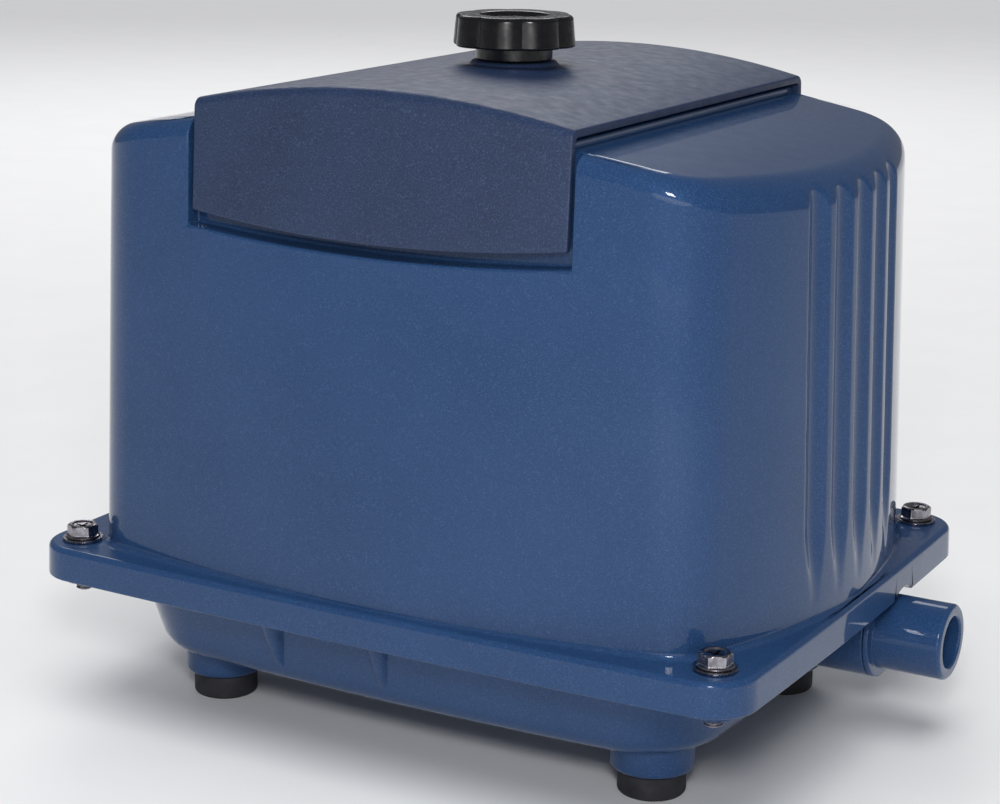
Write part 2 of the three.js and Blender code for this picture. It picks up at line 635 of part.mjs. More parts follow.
function boltWasher(x, y) {
  const [low, high] = [FLANGE_TOP + GAP, FLANGE_TOP + GAP + WASHER_THICK];
  const inner = BOLT_RADIUS + GAP;
  const profile = [[inner, low], [WASHER_RADIUS, low], [WASHER_RADIUS, high], [inner, high]];
  return turning('z', profile, [x, y, 0], 12);
}

// A turned rubber foot with a counterbore for its screw.
function rubberFoot(x, y) {
  const screw = BOLT_RADIUS + GAP;
  const profile = [
    [FOOT_SEAT.radius, 0], [FOOT_RADIUS - 0.8, 0], [FOOT_RADIUS, 0.8], [FOOT_RADIUS, FOOT_HEIGHT],
    [screw, FOOT_HEIGHT], [screw, FOOT_SEAT.height], [FOOT_SEAT.radius, FOOT_SEAT.height],
  ];
  return turning('z', profile, [x, y, 0], 16);
}

function footScrew(x, y) {
  const seat = FOOT_SEAT.height - GAP;
  const head = FOOT_SEAT.radius - 1;
  const end = FOOT_HEIGHT + 8;
  const profile = [
    [0, seat - 2.1], [head - 0.6, seat - 2.1], [head, seat - 1.5], [head, seat],
    [BOLT_RADIUS, seat], [BOLT_RADIUS, end], [0, end],
  ];
  return turning('z', profile, [x, y, 0], 10);
}

function outletNozzle() {
  const [collarStart, collar] = [OUTLET_JOINT + GAP, OUTLET_COLLAR.radius];
  const collarEnd = collarStart + OUTLET_COLLAR.length;
  const profile = [
    [OUTLET_BORE, TAIL_END], [TAIL_RADIUS, TAIL_END], [TAIL_RADIUS, collarStart],
    [collar, collarStart], [collar, collarEnd - 0.5], [collar - 0.5, collarEnd],
    [OUTLET_RADIUS, collarEnd], [OUTLET_RADIUS, OUTLET_END - 0.9], [OUTLET_RADIUS - 0.9, OUTLET_END],
    [OUTLET_BORE + 0.4, OUTLET_END], [OUTLET_BORE, OUTLET_END - 0.4],
  ];
  return turning('x', profile, [0, OUTLET_Y, OUTLET_Z], 32);
}

// A flush rubber cable grommet in the hood's rear wall, its web unpierced.
function cableGrommet() {
  const { x, z, radius, body, bore, proud } = GROMMET;
  const wallY = WALL_HALF_Y - DRAFT_Y * (z - WALL_FOOT);
  const faceAt = (along) => wallY - along ** 2 / (2 * sideArc(z));
  const back = faceAt(x - radius) - HOOD_WALL - 0.8;
  const front = faceAt(x + radius) + 0.7;
  const profile = [
    [0, back - 2], [radius - 1, back - 2], [radius, back - 1], [radius, back], [body, back],
    [body, front], [radius, front], [radius - 1, front + proud], [bore, front + proud],
    [bore, front - 2], [0, front - 2],
  ];
  return turning('y', profile, [x, 0, z], 16);
}

// ---- Pump unit --------------------------------------------------------------------------------

function tankLid() {
  const outline = tubPlan(LID_BOTTOM);
  const inset = TUB_WALL + GAP;
  const sheet = loft([ring(outline, LID_BOTTOM, inset), ring(outline, LID_TOP, inset)]);
  const spigots = [];
  const bores = [];
  for (const side of [-1, 1]) {
    const centre = [side * HOSE_FOOT.x, side * -HOSE_FOOT.y, 0];
    spigots.push(bar('z', LID_TOP - 1, LID_TOP + SPIGOT.length, centre, SPIGOT.outer, 16));
    bores.push(bar('z', LID_BOTTOM - 1, LID_TOP + SPIGOT.length + 1, centre, SPIGOT.inner, 16));
  }
  return cut(join(sheet, ...spigots), ...bores);
}

function rubberDamper(x, y) {
  const [low, high] = [LID_TOP + GAP, FRAME.bottom - GAP];
  const { radius } = DAMPER;
  const waist = radius - 1.6;
  const profile = [
    [0, low], [radius, low], [radius, low + 3], [waist, low + 5],
    [waist, high - 5], [radius, high - 3], [radius, high], [0, high],
  ];
  return turning('z', profile, [x, y, 0], 10);
}

function pumpFrame() {
  const { halfX, halfY, bottom, thick, upright, uprightHalfY, top } = FRAME;
  const deck = bottom + thick;
  let frame = box(-halfX, halfX, -halfY, halfY, bottom, deck);
  for (const side of [-1, 1]) {
    const [near, far] = side > 0 ? [halfX - upright, halfX] : [-halfX, upright - halfX];
    const post = box(near, far, -uprightHalfY, uprightHalfY, bottom, top);
    const opening = bar('x', near - 1, far + 1, [0, 0, ROD_Z], DIAPHRAGM_OPENING);
    frame = join(frame, cut(post, opening));
  }
  const pillarTop = ROD_Z - CORE.halfZ - GAP;
  const pillars = atCorners(CORE.halfX - 6, CORE.yoke + 6, (x, y) =>
    bar('z', deck - 1, pillarTop, [x, y, 0], 4, 12));
  return join(frame, ...pillars);
}

// E-shaped laminated core, legs towards the rod; side is +1 at the back, -1 at the front.
function core(side) {
  const { halfX, tip, yoke, back, halfZ, legs, outer } = CORE;
  const outline = [
    [-halfX, back], [-halfX, tip], [-outer, tip], [-outer, yoke], [-legs, yoke], [-legs, tip],
    [legs, tip], [legs, yoke], [outer, yoke], [outer, tip], [halfX, tip], [halfX, back],
  ];
  const shape = new THREE.Shape(outline.map(([x, y]) => new THREE.Vector2(x, side * y)));
  const geometry = new THREE.ExtrudeGeometry(shape, { depth: 2 * halfZ, bevelEnabled: false });
  return solid(geometry.translate(0, 0, ROD_Z - halfZ));
}

// A box given about the rod's height, between two distances from the rod on one side of it.
function sideBox(side, halfX, near, far, halfZ) {
  const [y0, y1] = side > 0 ? [near, far] : [-far, -near];
  return box(-halfX, halfX, y0, y1, ROD_Z - halfZ, ROD_Z + halfZ);
}

function bobbin(side) {
  const { from, to, wall, flange, halfX, halfZ } = BOBBIN;
  const [boreX, boreZ] = [CORE.legs + GAP, CORE.halfZ + GAP];
  const tube = sideBox(side, boreX + wall, from, to, boreZ + wall);
  const ends = [
    sideBox(side, halfX, from, from + flange, halfZ),
    sideBox(side, halfX, to - flange, to, halfZ),
  ];
  return cut(join(tube, ...ends), sideBox(side, boreX, from - 1, to + 1, boreZ));
}

function coil(side) {
  const { from, to, wall, flange, halfX, halfZ } = BOBBIN;
  const [near, far] = [from + flange + GAP, to - flange - GAP];
  const [boreX, boreZ] = [CORE.legs + wall + 2 * GAP, CORE.halfZ + wall + 2 * GAP];
  const turns = sideBox(side, halfX - 0.5, near, far, halfZ - 0.5);
  return cut(turns, sideBox(side, boreX, near - 1, far + 1, boreZ));
}

function driveRod() {
  const shoulder = FRAME.halfX + 2.3;
  const flange = HUB_RADIUS - 2;
  const left = [
    [ROD_RADIUS, -ROD_END], [ROD_RADIUS, -shoulder - 2], [flange, -shoulder - 2], [flange, -shoulder],
    [ROD_RADIUS, -shoulder],
  ];
  const right = left.map(([r, x]) => [r, -x]).reverse();
  const spindle = turning('x', [[0, -ROD_END], ...left, ...right, [0, ROD_END]], [0, 0, ROD_Z], 12);
  const { halfX, halfY, halfZ } = PLATE;
  const plate = box(-halfX, halfX, -halfY, halfY, ROD_Z - halfZ, ROD_Z + halfZ);
  const windows = [-1, 1].map((side) => magnetBlock(side, GAP, halfY + 1));
  return cut(join(spindle, plate), ...windows);
}

function magnetBlock(side, ease, halfY) {
  const { x, halfX, halfZ } = MAGNET;
  const [wide, tall] = [halfX + ease, halfZ + ease];
  return box(side * x - wide, side * x + wide, -halfY, halfY, ROD_Z - tall, ROD_Z + tall);
}

// Turned pieces of the right-hand pump; the left-hand ones mirror them.
function sided(side, profile, steps) {
  const placed = profile.map(([r, x]) => [r, side * x]);
  return turning('x', placed, [0, 0, ROD_Z], steps);
}

const HUB_X = FRAME.halfX + 4.6; // inner face of the diaphragm's hub
const HUB_THICK = 1.4;
const HUB_PLATE_THICK = 2;

function diaphragm(side) {
  const rim = FRAME.halfX + GAP;
  const profile = [
    [ROD_RADIUS + GAP, HUB_X], [HUB_RADIUS + 1, HUB_X], [DIAPHRAGM_OPENING - 3, rim + 0.4],
    [DIAPHRAGM_OPENING - 1, rim], [DIAPHRAGM_RADIUS, rim], [DIAPHRAGM_RADIUS, rim + 2],
    [DIAPHRAGM_OPENING - 1, rim + 2], [DIAPHRAGM_OPENING - 3, rim + 2],
    [HUB_RADIUS + 1, HUB_X + HUB_THICK], [ROD_RADIUS + GAP, HUB_X + HUB_THICK],
  ];
  return sided(side, profile, 20);
}

function diaphragmPlate(side) {
  const start = HUB_X + HUB_THICK + GAP;
  const end = start + HUB_PLATE_THICK;
  const bore = ROD_RADIUS + GAP;
  return sided(side, [[bore, start], [HUB_RADIUS, start], [HUB_RADIUS - 1, end], [bore, end]], 16);
}

function rodNut(side) {
  const start = HUB_X + HUB_THICK + HUB_PLATE_THICK + 2 * GAP;
  const [from, to] = side > 0 ? [start, start + 4] : [-start - 4, -start];
  const centre = [0, 0, ROD_Z];
  const hexagon = bar('x', from, to, centre, 7.5, 6);
  return cut(hexagon, bar('x', from - 1, to + 1, centre, ROD_RADIUS + GAP, 16));
}

function pumpHead(side) {
  const profile = [
    [0, HEAD_FLOOR], [DIAPHRAGM_OPENING, HEAD_FLOOR], [DIAPHRAGM_OPENING, HEAD_START],
    [HEAD_RADIUS, HEAD_START], [HEAD_RADIUS, HEAD_END], [0, HEAD_END],
  ];
  const ports = [-1, 1].map((way) => {
    const centre = [0, 0, ROD_Z + way * VALVE_OFFSET];
    const [from, to] = side > 0 ? [HEAD_FLOOR - 1, HEAD_END + 1] : [-HEAD_END - 1, 1 - HEAD_FLOOR];
    return bar('x', from, to, centre, VALVE_PORT_RADIUS, 12);
  });
  return cut(sided(side, profile, 24), ...ports);
}

// A box on one pump's end, with X measured outwards from the middle of the rod.
function endBox(side, x0, x1, halfY, z0, z1) {
  const [low, high] = side > 0 ? [x0, x1] : [-x1, -x0];
  return box(low, high, -halfY, halfY, z0, z1);
}

function headCover(side) {
  const { end, halfY, halfZ, wall } = HEAD_COVER;
  const start = HEAD_END + GAP;
  const inner = end - wall;
  const shell = endBox(side, start, end, halfY, ROD_Z - halfZ, ROD_Z + halfZ);
  const delivery = endBox(side, start - 1, inner, halfY - wall, ROD_Z - halfZ + wall, ROD_Z - wall / 2);
  const suction = endBox(side, start - 1, inner, halfY - wall, ROD_Z + wall / 2, ROD_Z + halfZ - wall);
  const mid = (start + inner) / 2;
  const breather = bar('z', ROD_Z + VALVE_OFFSET, ROD_Z + halfZ + 1, [side * (mid + 0.5), 0, 0], 3, 12);
  const tip = halfY + SPIGOT.length;
  const [from, to] = side > 0 ? [-tip, wall - halfY] : [halfY - wall, tip];
  const centre = [side * (mid + 0.5), 0, SPIGOT.z];
  const spigot = bar('y', from, to, centre, SPIGOT.outer, 16);
  const bore = bar('y', from - 1, to + 1, centre, SPIGOT.inner, 16);
  return cut(join(cut(shell, delivery, suction), spigot), breather, bore);
}

// A rubber flap lying over a port: the intake's is in the pump head, the delivery's in its cover.
function valveFlap(side, port) {
  const { halfY, halfZ, thick } = FLAP;
  const z = ROD_Z + (port === 'intake' ? VALVE_OFFSET : -VALVE_OFFSET);
  const face = port === 'intake' ? HEAD_FLOOR - GAP - thick : HEAD_END + GAP;
  return endBox(side, face, face + thick, halfY, z - halfZ, z + halfZ);
}

function airHose(side) {
  const mid = (HEAD_END + GAP + HEAD_COVER.end - HEAD_COVER.wall) / 2 + 0.5;
  const startY = HEAD_COVER.halfY + GAP;
  const route = new THREE.CubicBezierCurve3(
    new THREE.Vector3(side * mid, -side * startY, SPIGOT.z),
    new THREE.Vector3(side * mid, -side * (startY + 30), SPIGOT.z),
    new THREE.Vector3(side * HOSE_FOOT.x, -side * HOSE_FOOT.y, LID_TOP + 30),
    new THREE.Vector3(side * HOSE_FOOT.x, -side * HOSE_FOOT.y, LID_TOP + GAP),
  );
  const section = new THREE.Shape().absarc(0, 0, HOSE.outer, 0, 2 * Math.PI);
  section.holes.push(new THREE.Path().absarc(0, 0, HOSE.inner, 0, 2 * Math.PI, true));
  const options = { steps: 9, curveSegments: 4, bevelEnabled: false, extrudePath: route };
  return solid(new THREE.ExtrudeGeometry(section, options));
}

function terminalBlock() {
  const deck = FRAME.bottom + FRAME.thick + GAP;
  const [front, rear] = [FRAME.halfY - 9, FRAME.halfY - 1];
  const block = box(-22, 22, front, rear, deck, deck + 11);
  const middle = (front + rear) / 2;
  const ways = [-15, -5, 5, 15].map((x) => bar('z', deck + 7, deck + 12, [x, middle, 0], 2.4, 10));
  return cut(block, ...ways);
}

function safetySwitch() {
  const deck = FRAME.bottom + FRAME.thick + GAP;
  const front = 1 - FRAME.halfY;
  const body = box(-11, 11, front, front + 10, deck, deck + 12);
  return join(body, box(-4, 4, front + 3, front + 7, deck + 11, deck + 15));
}

// ---- Assembly ---------------------------------------------------------------------------------

const FINISHES = {
  paint: { color: 0x3d527a, roughness: 0.35, metalness: 0.3 },
  cover: { color: 0x2c3442, roughness: 0.6, metalness: 0 },
  knob: { color: 0x101113, roughness: 0.25, metalness: 0 },
  bolt: { color: 0x9c9588, roughness: 0.3, metalness: 1 },
  rubber: { color: 0x161616, roughness: 0.85, metalness: 0 },
  foam: { color: 0x24282b, roughness: 1, metalness: 0 },
  alloy: { color: 0xa9adb2, roughness: 0.45, metalness: 0.9 },
  steel: { color: 0x6d6f74, roughness: 0.45, metalness: 0.9 },
  copper: { color: 0xb36a35, roughness: 0.35, metalness: 0.8 },
  magnet: { color: 0x3b3b3e, roughness: 0.5, metalness: 0.6 },
  plastic: { color: 0xd9d5c8, roughness: 0.5, metalness: 0 },
};

const pump = new THREE.Group();
pump.position.x = -MODEL_CENTRE_X;

function add(name, piece, finish) {
  const { vertProperties, triVerts } = piece.getMesh();
  const geometry = new THREE.BufferGeometry();
  geometry.setAttribute('position', new THREE.BufferAttribute(vertProperties, 3));
  geometry.setIndex(new THREE.BufferAttribute(triVerts, 1));
  const mesh = new THREE.Mesh(geometry, new THREE.MeshStandardMaterial(FINISHES[finish]));
  mesh.name = name;
  pump.add(mesh);
}

function addAtCorners(name, x, y, make, finish) {
  const corners = ['front_left', 'front_right', 'rear_right', 'rear_left'];
  atCorners(x, y, make).forEach((piece, i) => add(`${name}_${corners[i]}`, piece, finish));
}

add('hood', hood(), 'paint');
add('base', baseTub(), 'paint');
add('outlet_nozzle', outletNozzle(), 'paint');
add('housing_gasket', housingGasket(), 'rubber');
add('filter_cover', filterCover(), 'cover');
add('filter_element', filterElement(), 'foam');
add('cover_knob', coverKnob(), 'knob');
add('knob_stud', bar('z', STUD_BOTTOM, STUD_TOP, [0, 0, 0], STUD_RADIUS, 20), 'bolt');
add('knob_seal', knobSeal(), 'rubber');
add('cable_grommet', cableGrommet(), 'rubber');
addAtCorners('flange_bolt', BOLT_X, BOLT_Y, flangeBolt, 'bolt');
addAtCorners('bolt_washer', BOLT_X, BOLT_Y, boltWasher, 'bolt');
addAtCorners('rubber_foot', FOOT_X, FOOT_Y, rubberFoot, 'rubber');
addAtCorners('foot_screw', FOOT_X, FOOT_Y, footScrew, 'bolt');
add('tank_lid', tankLid(), 'alloy');
addAtCorners('rubber_damper', DAMPER.x, DAMPER.y, rubberDamper, 'rubber');
add('pump_frame', pumpFrame(), 'alloy');
add('terminal_block', terminalBlock(), 'plastic');
add('safety_switch', safetySwitch(), 'plastic');
for (const [where, side] of [['front', -1], ['rear', 1]]) {
  add(`core_${where}`, core(side), 'steel');
  add(`bobbin_${where}`, bobbin(side), 'plastic');
  add(`coil_${where}`, coil(side), 'copper');
}
add('drive_rod', driveRod(), 'alloy');
for (const [where, side] of [['left', -1], ['right', 1]]) {
  add(`magnet_${where}`, magnetBlock(side, 0, PLATE.halfY - 0.2), 'magnet');
  add(`diaphragm_${where}`, diaphragm(side), 'rubber');
  add(`diaphragm_plate_${where}`, diaphragmPlate(side), 'alloy');
  add(`rod_nut_${where}`, rodNut(side), 'bolt');
  add(`pump_head_${where}`, pumpHead(side), 'alloy');
  add(`intake_flap_${where}`, valveFlap(side, 'intake'), 'rubber');
  add(`delivery_flap_${where}`, valveFlap(side, 'delivery'), 'rubber');
  add(`head_cover_${where}`, headCover(side), 'alloy');
  add(`air_hose_${where}`, airHose(side), 'rubber');
}

export default pump;
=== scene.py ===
import json
import math

import bmesh
import bpy
import numpy as np
from mathutils import Matrix, Vector


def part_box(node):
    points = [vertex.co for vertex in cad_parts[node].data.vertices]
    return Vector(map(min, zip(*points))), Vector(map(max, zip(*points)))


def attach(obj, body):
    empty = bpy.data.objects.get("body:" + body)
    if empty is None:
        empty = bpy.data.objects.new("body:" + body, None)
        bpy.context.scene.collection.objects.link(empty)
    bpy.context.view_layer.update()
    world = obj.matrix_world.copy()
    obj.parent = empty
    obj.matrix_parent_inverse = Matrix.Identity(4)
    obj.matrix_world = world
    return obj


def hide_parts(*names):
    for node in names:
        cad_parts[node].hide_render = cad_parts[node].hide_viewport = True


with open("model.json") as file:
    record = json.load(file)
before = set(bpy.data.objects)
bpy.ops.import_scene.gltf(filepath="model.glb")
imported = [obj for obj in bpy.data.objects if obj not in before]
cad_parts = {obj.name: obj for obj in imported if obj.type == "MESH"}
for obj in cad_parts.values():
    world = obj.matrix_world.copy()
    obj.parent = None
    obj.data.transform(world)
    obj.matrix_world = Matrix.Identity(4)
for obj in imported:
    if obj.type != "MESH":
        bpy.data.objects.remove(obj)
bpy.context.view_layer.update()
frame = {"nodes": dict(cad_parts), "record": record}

# Sizes are in millimetres, in the pump's own frame: X = 0 and Y = 0 at the middle of its four
# flange bolts, Z = 0 where the feet stand. shift_x takes that frame to the row frame.
MM = 0.001
GAP = 0.3  # clearance round a fitted piece
PAST = 5.0  # how far a cutting tool reaches past a face
hood_low, hood_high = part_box("hood")
shift_x = (hood_low[0] + hood_high[0]) / 2

# ---- Driving dimensions ---------------------------------------------------------------------------
# The outer sizes are the CAD model's, apart from the ribs, which are bolder here, and the flutes,
# which fade out over a longer stretch. The insides of the hood and the tub are simpler, and the
# thread, the small roundings and recesses and the numbers of steps are this script's own.
FLANGE_HALF = (115.7, 87.8)
FLANGE_ARCS = (2800.0, 3100.0, 13.5)  # radii of the end arcs, side arcs and corners
FLANGE_TOP = 50.9
FLANGE_EDGE = 1.7
FLANGE_STEP = 0.25  # the rounded edge starts this far in
SKIRT_BOTTOM = 41.0
SKIRT_EDGE = 0.6
SKIRT_WALL = 4.0
PLATE_UNDERSIDE = 47.0
WALL_FOOT = 53.0
WALL_HALF = (113.3, 83.7)
WALL_ARCS = (170.0, 560.0, 19.0)  # radii of its plan at the foot
WALL_ARCS_HIGH = (170.0, 900.0, 22.0)  # and above WALL_STRAIGHT
WALL_STRAIGHT = 150.0
DRAFT = (0.0322, 0.0449)
HOOD_WALL = 4.5
CAVITY_TOP = 143.0
CROWN_TOP = 184.5
CROWN_RADIUS = 450.0
SHOULDER_Z = 172.0
SHOULDER_SIDE = 5.0
SHOULDER_END = 8.0
FILLET_LEAST = 0.3  # the wall's foot, in the middle of each side
FILLET_GROWTH = 12.0
FILLET_MOST = 2.1  # and at the corners
FLUTE_PITCH = 14.0
FLUTE_COUNT = 5
FLUTE_RADIUS = 7.25
FLUTE_DEPTH = 2.0
FLUTE_FOOT = 76.0  # full depth down to here
FLUTE_POINT = 56.0  # and faded out to a point here
FLUTE_BLEND = 0.22
NOTCH_HALF_X = 60.4
NOTCH_WALL_Y = 72.2
NOTCH_SILL = 148.0
NOTCH_SILL_RISE = 2.8
CURB_HALF_X = 57.0
CURB_RISE = 2.0
CURB_WALL = 4.0
TRAY_FLOOR = 164.0
BOSS_RADIUS = 9.0
BOSS_TOP = 189.8
AIR_INTAKE = (32.0, 10.0)  # X and radius of the hole in the tray's floor
COVER_HALF_X = 59.0
COVER_TOP = 192.6
COVER_DROP = 6.6
COVER_SKIN = 2.2
COVER_FOLD = 2.5
PANEL_FOOT = 151.5
PANEL_FOOT_RISE = 3.7
PANEL_Y = 76.9
PANEL_LEAN = 0.065
PANEL_BULGE = 2.0
COVER_RING = (12.2, 193.6)  # radius and height of its top
COVER_RING_SPREAD = 0.6  # extra radius for each millimetre down
KNOB_RADIUS = 18.0
KNOB_DRAFT = 0.7
KNOB_LOBES = 8
KNOB_LOBE_RADIUS = 8.5
KNOB_LOBE_TURN = math.radians(14.4)
KNOB_BOTTOM = 197.8
KNOB_TOP = 206.8
KNOB_NECK = 11.15
KNOB_DISH = 10.2
KNOB_EDGES = (0.7, 1.3)  # rounding of the grip's lower and upper edges
SEAL_SEAT = 9.3
NECK_BOTTOM = 193.9
STUD_HOLE = 4.3
STUD_SUNK = 8.0  # depth of its hole below the tray's floor
TUB_BOTTOM = 15.5
TUB_TOP = 42.6
TUB_FOOT = (93.0, 67.7)
TUB_RIM = (99.5, 74.2)
TUB_ARCS = (600.0, 1100.0, 24.5)
TUB_WALL = 3.5
TUB_FLOOR = 19.0
TUB_EDGE = 6.5
TUB_FILLET = 1.5  # under the flange
BASE_FLANGE_TOP = 45.2
LID_TOP = 40.6
RIB_X = (-36.9, -0.9)
RIB_FOOT = 15.0
RIB_RADIUS = 4.4
RIB_SUNK = 0.5
RIB_FADE = (22.0, 27.0)  # faded out by the lower height, in full from the upper one
FOOT_AT = (72.8, 46.2)
FOOT_RADIUS = 9.6
FOOT_HEIGHT = 7.0
FOOT_SEAT = (5.6, 3.6)  # radius and height of the counterbore for the screw's head
COLLAR = (12.3, 11.9, 10.2)  # radii at its top, its waist and its foot
COLLAR_WAIST = 9.5
COLLAR_TOP = 18.0
BOLT_AT = (103.45, 74.9)
BOLT_RADIUS = 2.5
BOLT_TIP = 35.5
BOLT_BOSS = (5.5, 38.5)  # radius and lower end
THREAD_PITCH = 0.8
THREAD_TURNS = 10
THREAD_DEPTH = 0.45
BOLT_SLOT = (2.3, 0.45, 2.2)  # half-length, half-width and depth of the cross recess
BOLT_FLATS = 8.0
BOLT_TOP = 55.9
WASHER_RADIUS = 6.0
OUTLET_AT = (33.0, 29.4)  # Y and Z of its axis
OUTLET_END = 131.0
OUTLET_RADIUS = 11.35
OUTLET_BORE = 7.6
OUTLET_EDGES = (1.3, 0.8)  # rounding of its end, outside and in the bore
TAIL_RADIUS = 9.0
OUTLET_COLLAR = 14.3
COLLAR_LENGTH = 1.7
OUTLET_RELIEF = 13.9
OUTLET_JOINT = 108.4
TAIL_END = 99.0
GROMMET_AT = (-60.0, 66.0)  # X and Z of its axis, on the rear wall
GROMMET_RADII = (8.5, 6.5, 3.6)  # flange, body and web
GROMMET_PROUD = 3.4
HOOD_STEPS = (120, 14, 24)  # along the end, corner and side of a quarter of its plan
TUB_STEPS = (24, 14, 240)
COVER_STEPS = 48
LOBE_STEPS = 24
ROUND_STEPS = 96  # round the outlet, the bolts, the collars and the cover's ring
SMALL_STEPS = 72  # round the washers and the grommet
FOOT_STEPS = 64
HOLE_STEPS = 32
STRIP_STEPS = 24

# ---- Camera ---------------------------------------------------------------------------------------
CAMERA_AT = (331.13, -593.38, 266.85)
CAMERA_AZIMUTH = 29.4
CAMERA_ELEVATION = 14.5
CAMERA_ROLL = 0.73
CAMERA_LENS = 84.03


def to_row(points):
    """Points of the pump's own frame, in millimetres, as row-frame points in metres."""
    placed = np.asarray(points, float) * MM
    placed[..., 0] += shift_x
    return placed


def make_camera():
    bpy.context.scene.view_settings.view_transform = "Standard"
    azimuth, elevation = math.radians(CAMERA_AZIMUTH), math.radians(CAMERA_ELEVATION)
    roll = math.radians(CAMERA_ROLL)
    flat = math.cos(elevation)
    forward = Vector((-math.sin(azimuth) * flat, math.cos(azimuth) * flat, -math.sin(elevation)))
    level = forward.cross(Vector((0, 0, 1))).normalized()
    upright = level.cross(forward)
    right = level * math.cos(roll) + upright * math.sin(roll)
    up = upright * math.cos(roll) - level * math.sin(roll)
    camera = bpy.data.objects.new("camera", bpy.data.cameras.new("camera"))
    camera.data.lens = CAMERA_LENS
    camera.data.clip_start = 0.01
    turn = Matrix((right, up, -forward)).transposed().to_4x4()
    camera.matrix_world = Matrix.Translation(Vector(to_row(CAMERA_AT))) @ turn
    bpy.context.scene.collection.objects.link(camera)
    bpy.context.scene.camera = camera


# ---- Plans, rings and skins -------------------------------------------------------------------------
def corner_centre(half, arcs):
    """Centre of the corner's arc, which touches the end arc and the side arc."""
    end, side, corner = arcs
    a = np.array([half[0] - end, 0.0])
    b = np.array([0.0, half[1] - side])
    reach_a, reach_b = end - corner, side - corner
    span = np.linalg.norm(b - a)
    along = (reach_a ** 2 - reach_b ** 2 + span ** 2) / (2 * span)
    way = (b - a) / span
    across = np.array([-way[1], way[0]]) * math.sqrt(reach_a ** 2 - along ** 2)
    return max((a + way * along + s * across for s in (1, -1)), key=min)


def plan(half, arcs, steps):
    """Rows of x, y and the outward normal round four arcs and four corners, from +X anticlockwise.
    Point i mirrors point -i in X, and steps gives the end, corner and side steps of a quarter."""
    end, side, corner = arcs
    centre = corner_centre(half, arcs)
    end_turn = math.atan2(centre[1], centre[0] - (half[0] - end))
    side_turn = math.atan2(centre[1] - (half[1] - side), centre[0])
    quarter = []
    stretches = (
        ((half[0] - end, 0.0), end, 0.0, end_turn, steps[0]),
        (centre, corner, end_turn, side_turn, steps[1]),
        ((0.0, half[1] - side), side, side_turn, math.pi / 2, steps[2]),
    )
    for middle, radius, start, stop, count in stretches:
        turn = start + (stop - start) * np.arange(count) / count
        nx, ny = np.cos(turn), np.sin(turn)
        quarter.append(np.stack([middle[0] + radius * nx, middle[1] + radius * ny, nx, ny], 1))
    quarter = np.concatenate(quarter)
    top = np.array([[0.0, half[1], 0.0, 1.0]])
    half_ring = np.concatenate([quarter, top, quarter[::-1] * (-1, 1, -1, 1)])
    return np.concatenate([half_ring, half_ring[-2:0:-1] * (1, -1, 1, -1)])


def ring(outline, z, inset=0.0):
    """A ring of points: the outline drawn in by inset, at height z. Both may vary round it."""
    inset = np.broadcast_to(inset, outline.shape[:1])[:, None]
    height = np.broadcast_to(z, outline.shape[:1])[:, None]
    return np.concatenate([outline[:, :2] - outline[:, 2:] * inset, height], 1)


def skin(rings, capped=True):
    """Vertices and faces of rings stacked into a skin. A cap is a row of strips from point i to -i."""
    count = len(rings[0])
    faces = []
    for k in range(len(rings) - 1):
        base = k * count
        for i in range(count):
            j = (i + 1) % count
            faces.append((base + i, base + j, base + j + count, base + i + count))
    if capped:
        last = (len(rings) - 1) * count
        for i in range(count // 2):
            a, b, c, d = i, i + 1, count - i - 1, (count - i) % count
            strip = [v for n, v in enumerate((a, d, c, b)) if v not in (a, d, c, b)[:n]]
            faces.append(tuple(strip))
            faces.append(tuple(last + v for v in reversed(strip)))
    return np.concatenate(rings), faces


def mesh_object(name, vertices, faces):
    mesh = bpy.data.meshes.new(name)
    mesh.from_pydata(to_row(vertices).tolist(), [], faces)
    work = bmesh.new()
    work.from_mesh(mesh)
    bmesh.ops.recalc_face_normals(work, faces=work.faces)
    work.to_mesh(mesh)
    work.free()
    made = bpy.data.objects.new(name, mesh)
    bpy.context.scene.collection.objects.link(made)
    return made


def turning(name, profile, steps, centre=(0, 0, 0), axis="z"):
    """A solid turned from a profile of (radius, place along the axis), which runs from axis to axis
    or, for a ring, closes on itself."""
    closed = profile[0][0] > 0
    turn = 2 * math.pi * np.arange(steps) / steps
    rings = []
    for radius, along in profile:
        place_along = np.full(steps, float(along))
        rings.append(np.stack([radius * np.cos(turn), radius * np.sin(turn), place_along], 1))
    if closed:
        rings.append(rings[0])
    vertices, faces = skin(rings, capped=False)
    order = {"z": (0, 1, 2), "x": (2, 0, 1), "y": (1, 2, 0)}[axis]
    made = mesh_object(name, vertices[:, order] + np.array(centre, float), faces)
    merge(made, 0.002)
    return made


def merge(made, distance):
    """Joins vertices closer than distance and drops the faces that leaves without area."""
    work = bmesh.new()
    work.from_mesh(made.data)
    bmesh.ops.remove_doubles(work, verts=work.verts, dist=distance * MM)
    bmesh.ops.dissolve_degenerate(work, edges=work.edges, dist=distance * MM / 2)
    bmesh.ops.recalc_face_normals(work, faces=work.faces)
    work.to_mesh(made.data)
    work.free()


def block(low, high):
    """A plain box, used only as a cutting or joining tool."""
    corners = [[x, y, z] for z in (low[2], high[2]) for x, y in (
        (low[0], low[1]), (high[0], low[1]), (high[0], high[1]), (low[0], high[1]))]
    faces = [(3, 2, 1, 0), (4, 5, 6, 7), (0, 1, 5, 4), (1, 2, 6, 5), (2, 3, 7, 6), (3, 0, 4, 7)]
    return mesh_object("tool", np.array(corners, float), faces)


def post(radius, low, high, x=0.0, y=0.0, steps=48, top_radius=None):
    """An upright round bar, used as a cutting or joining tool."""
    top = radius if top_radius is None else top_radius
    return turning("tool", [(0, low), (radius, low), (top, high), (0, high)], steps, (x, y, 0))


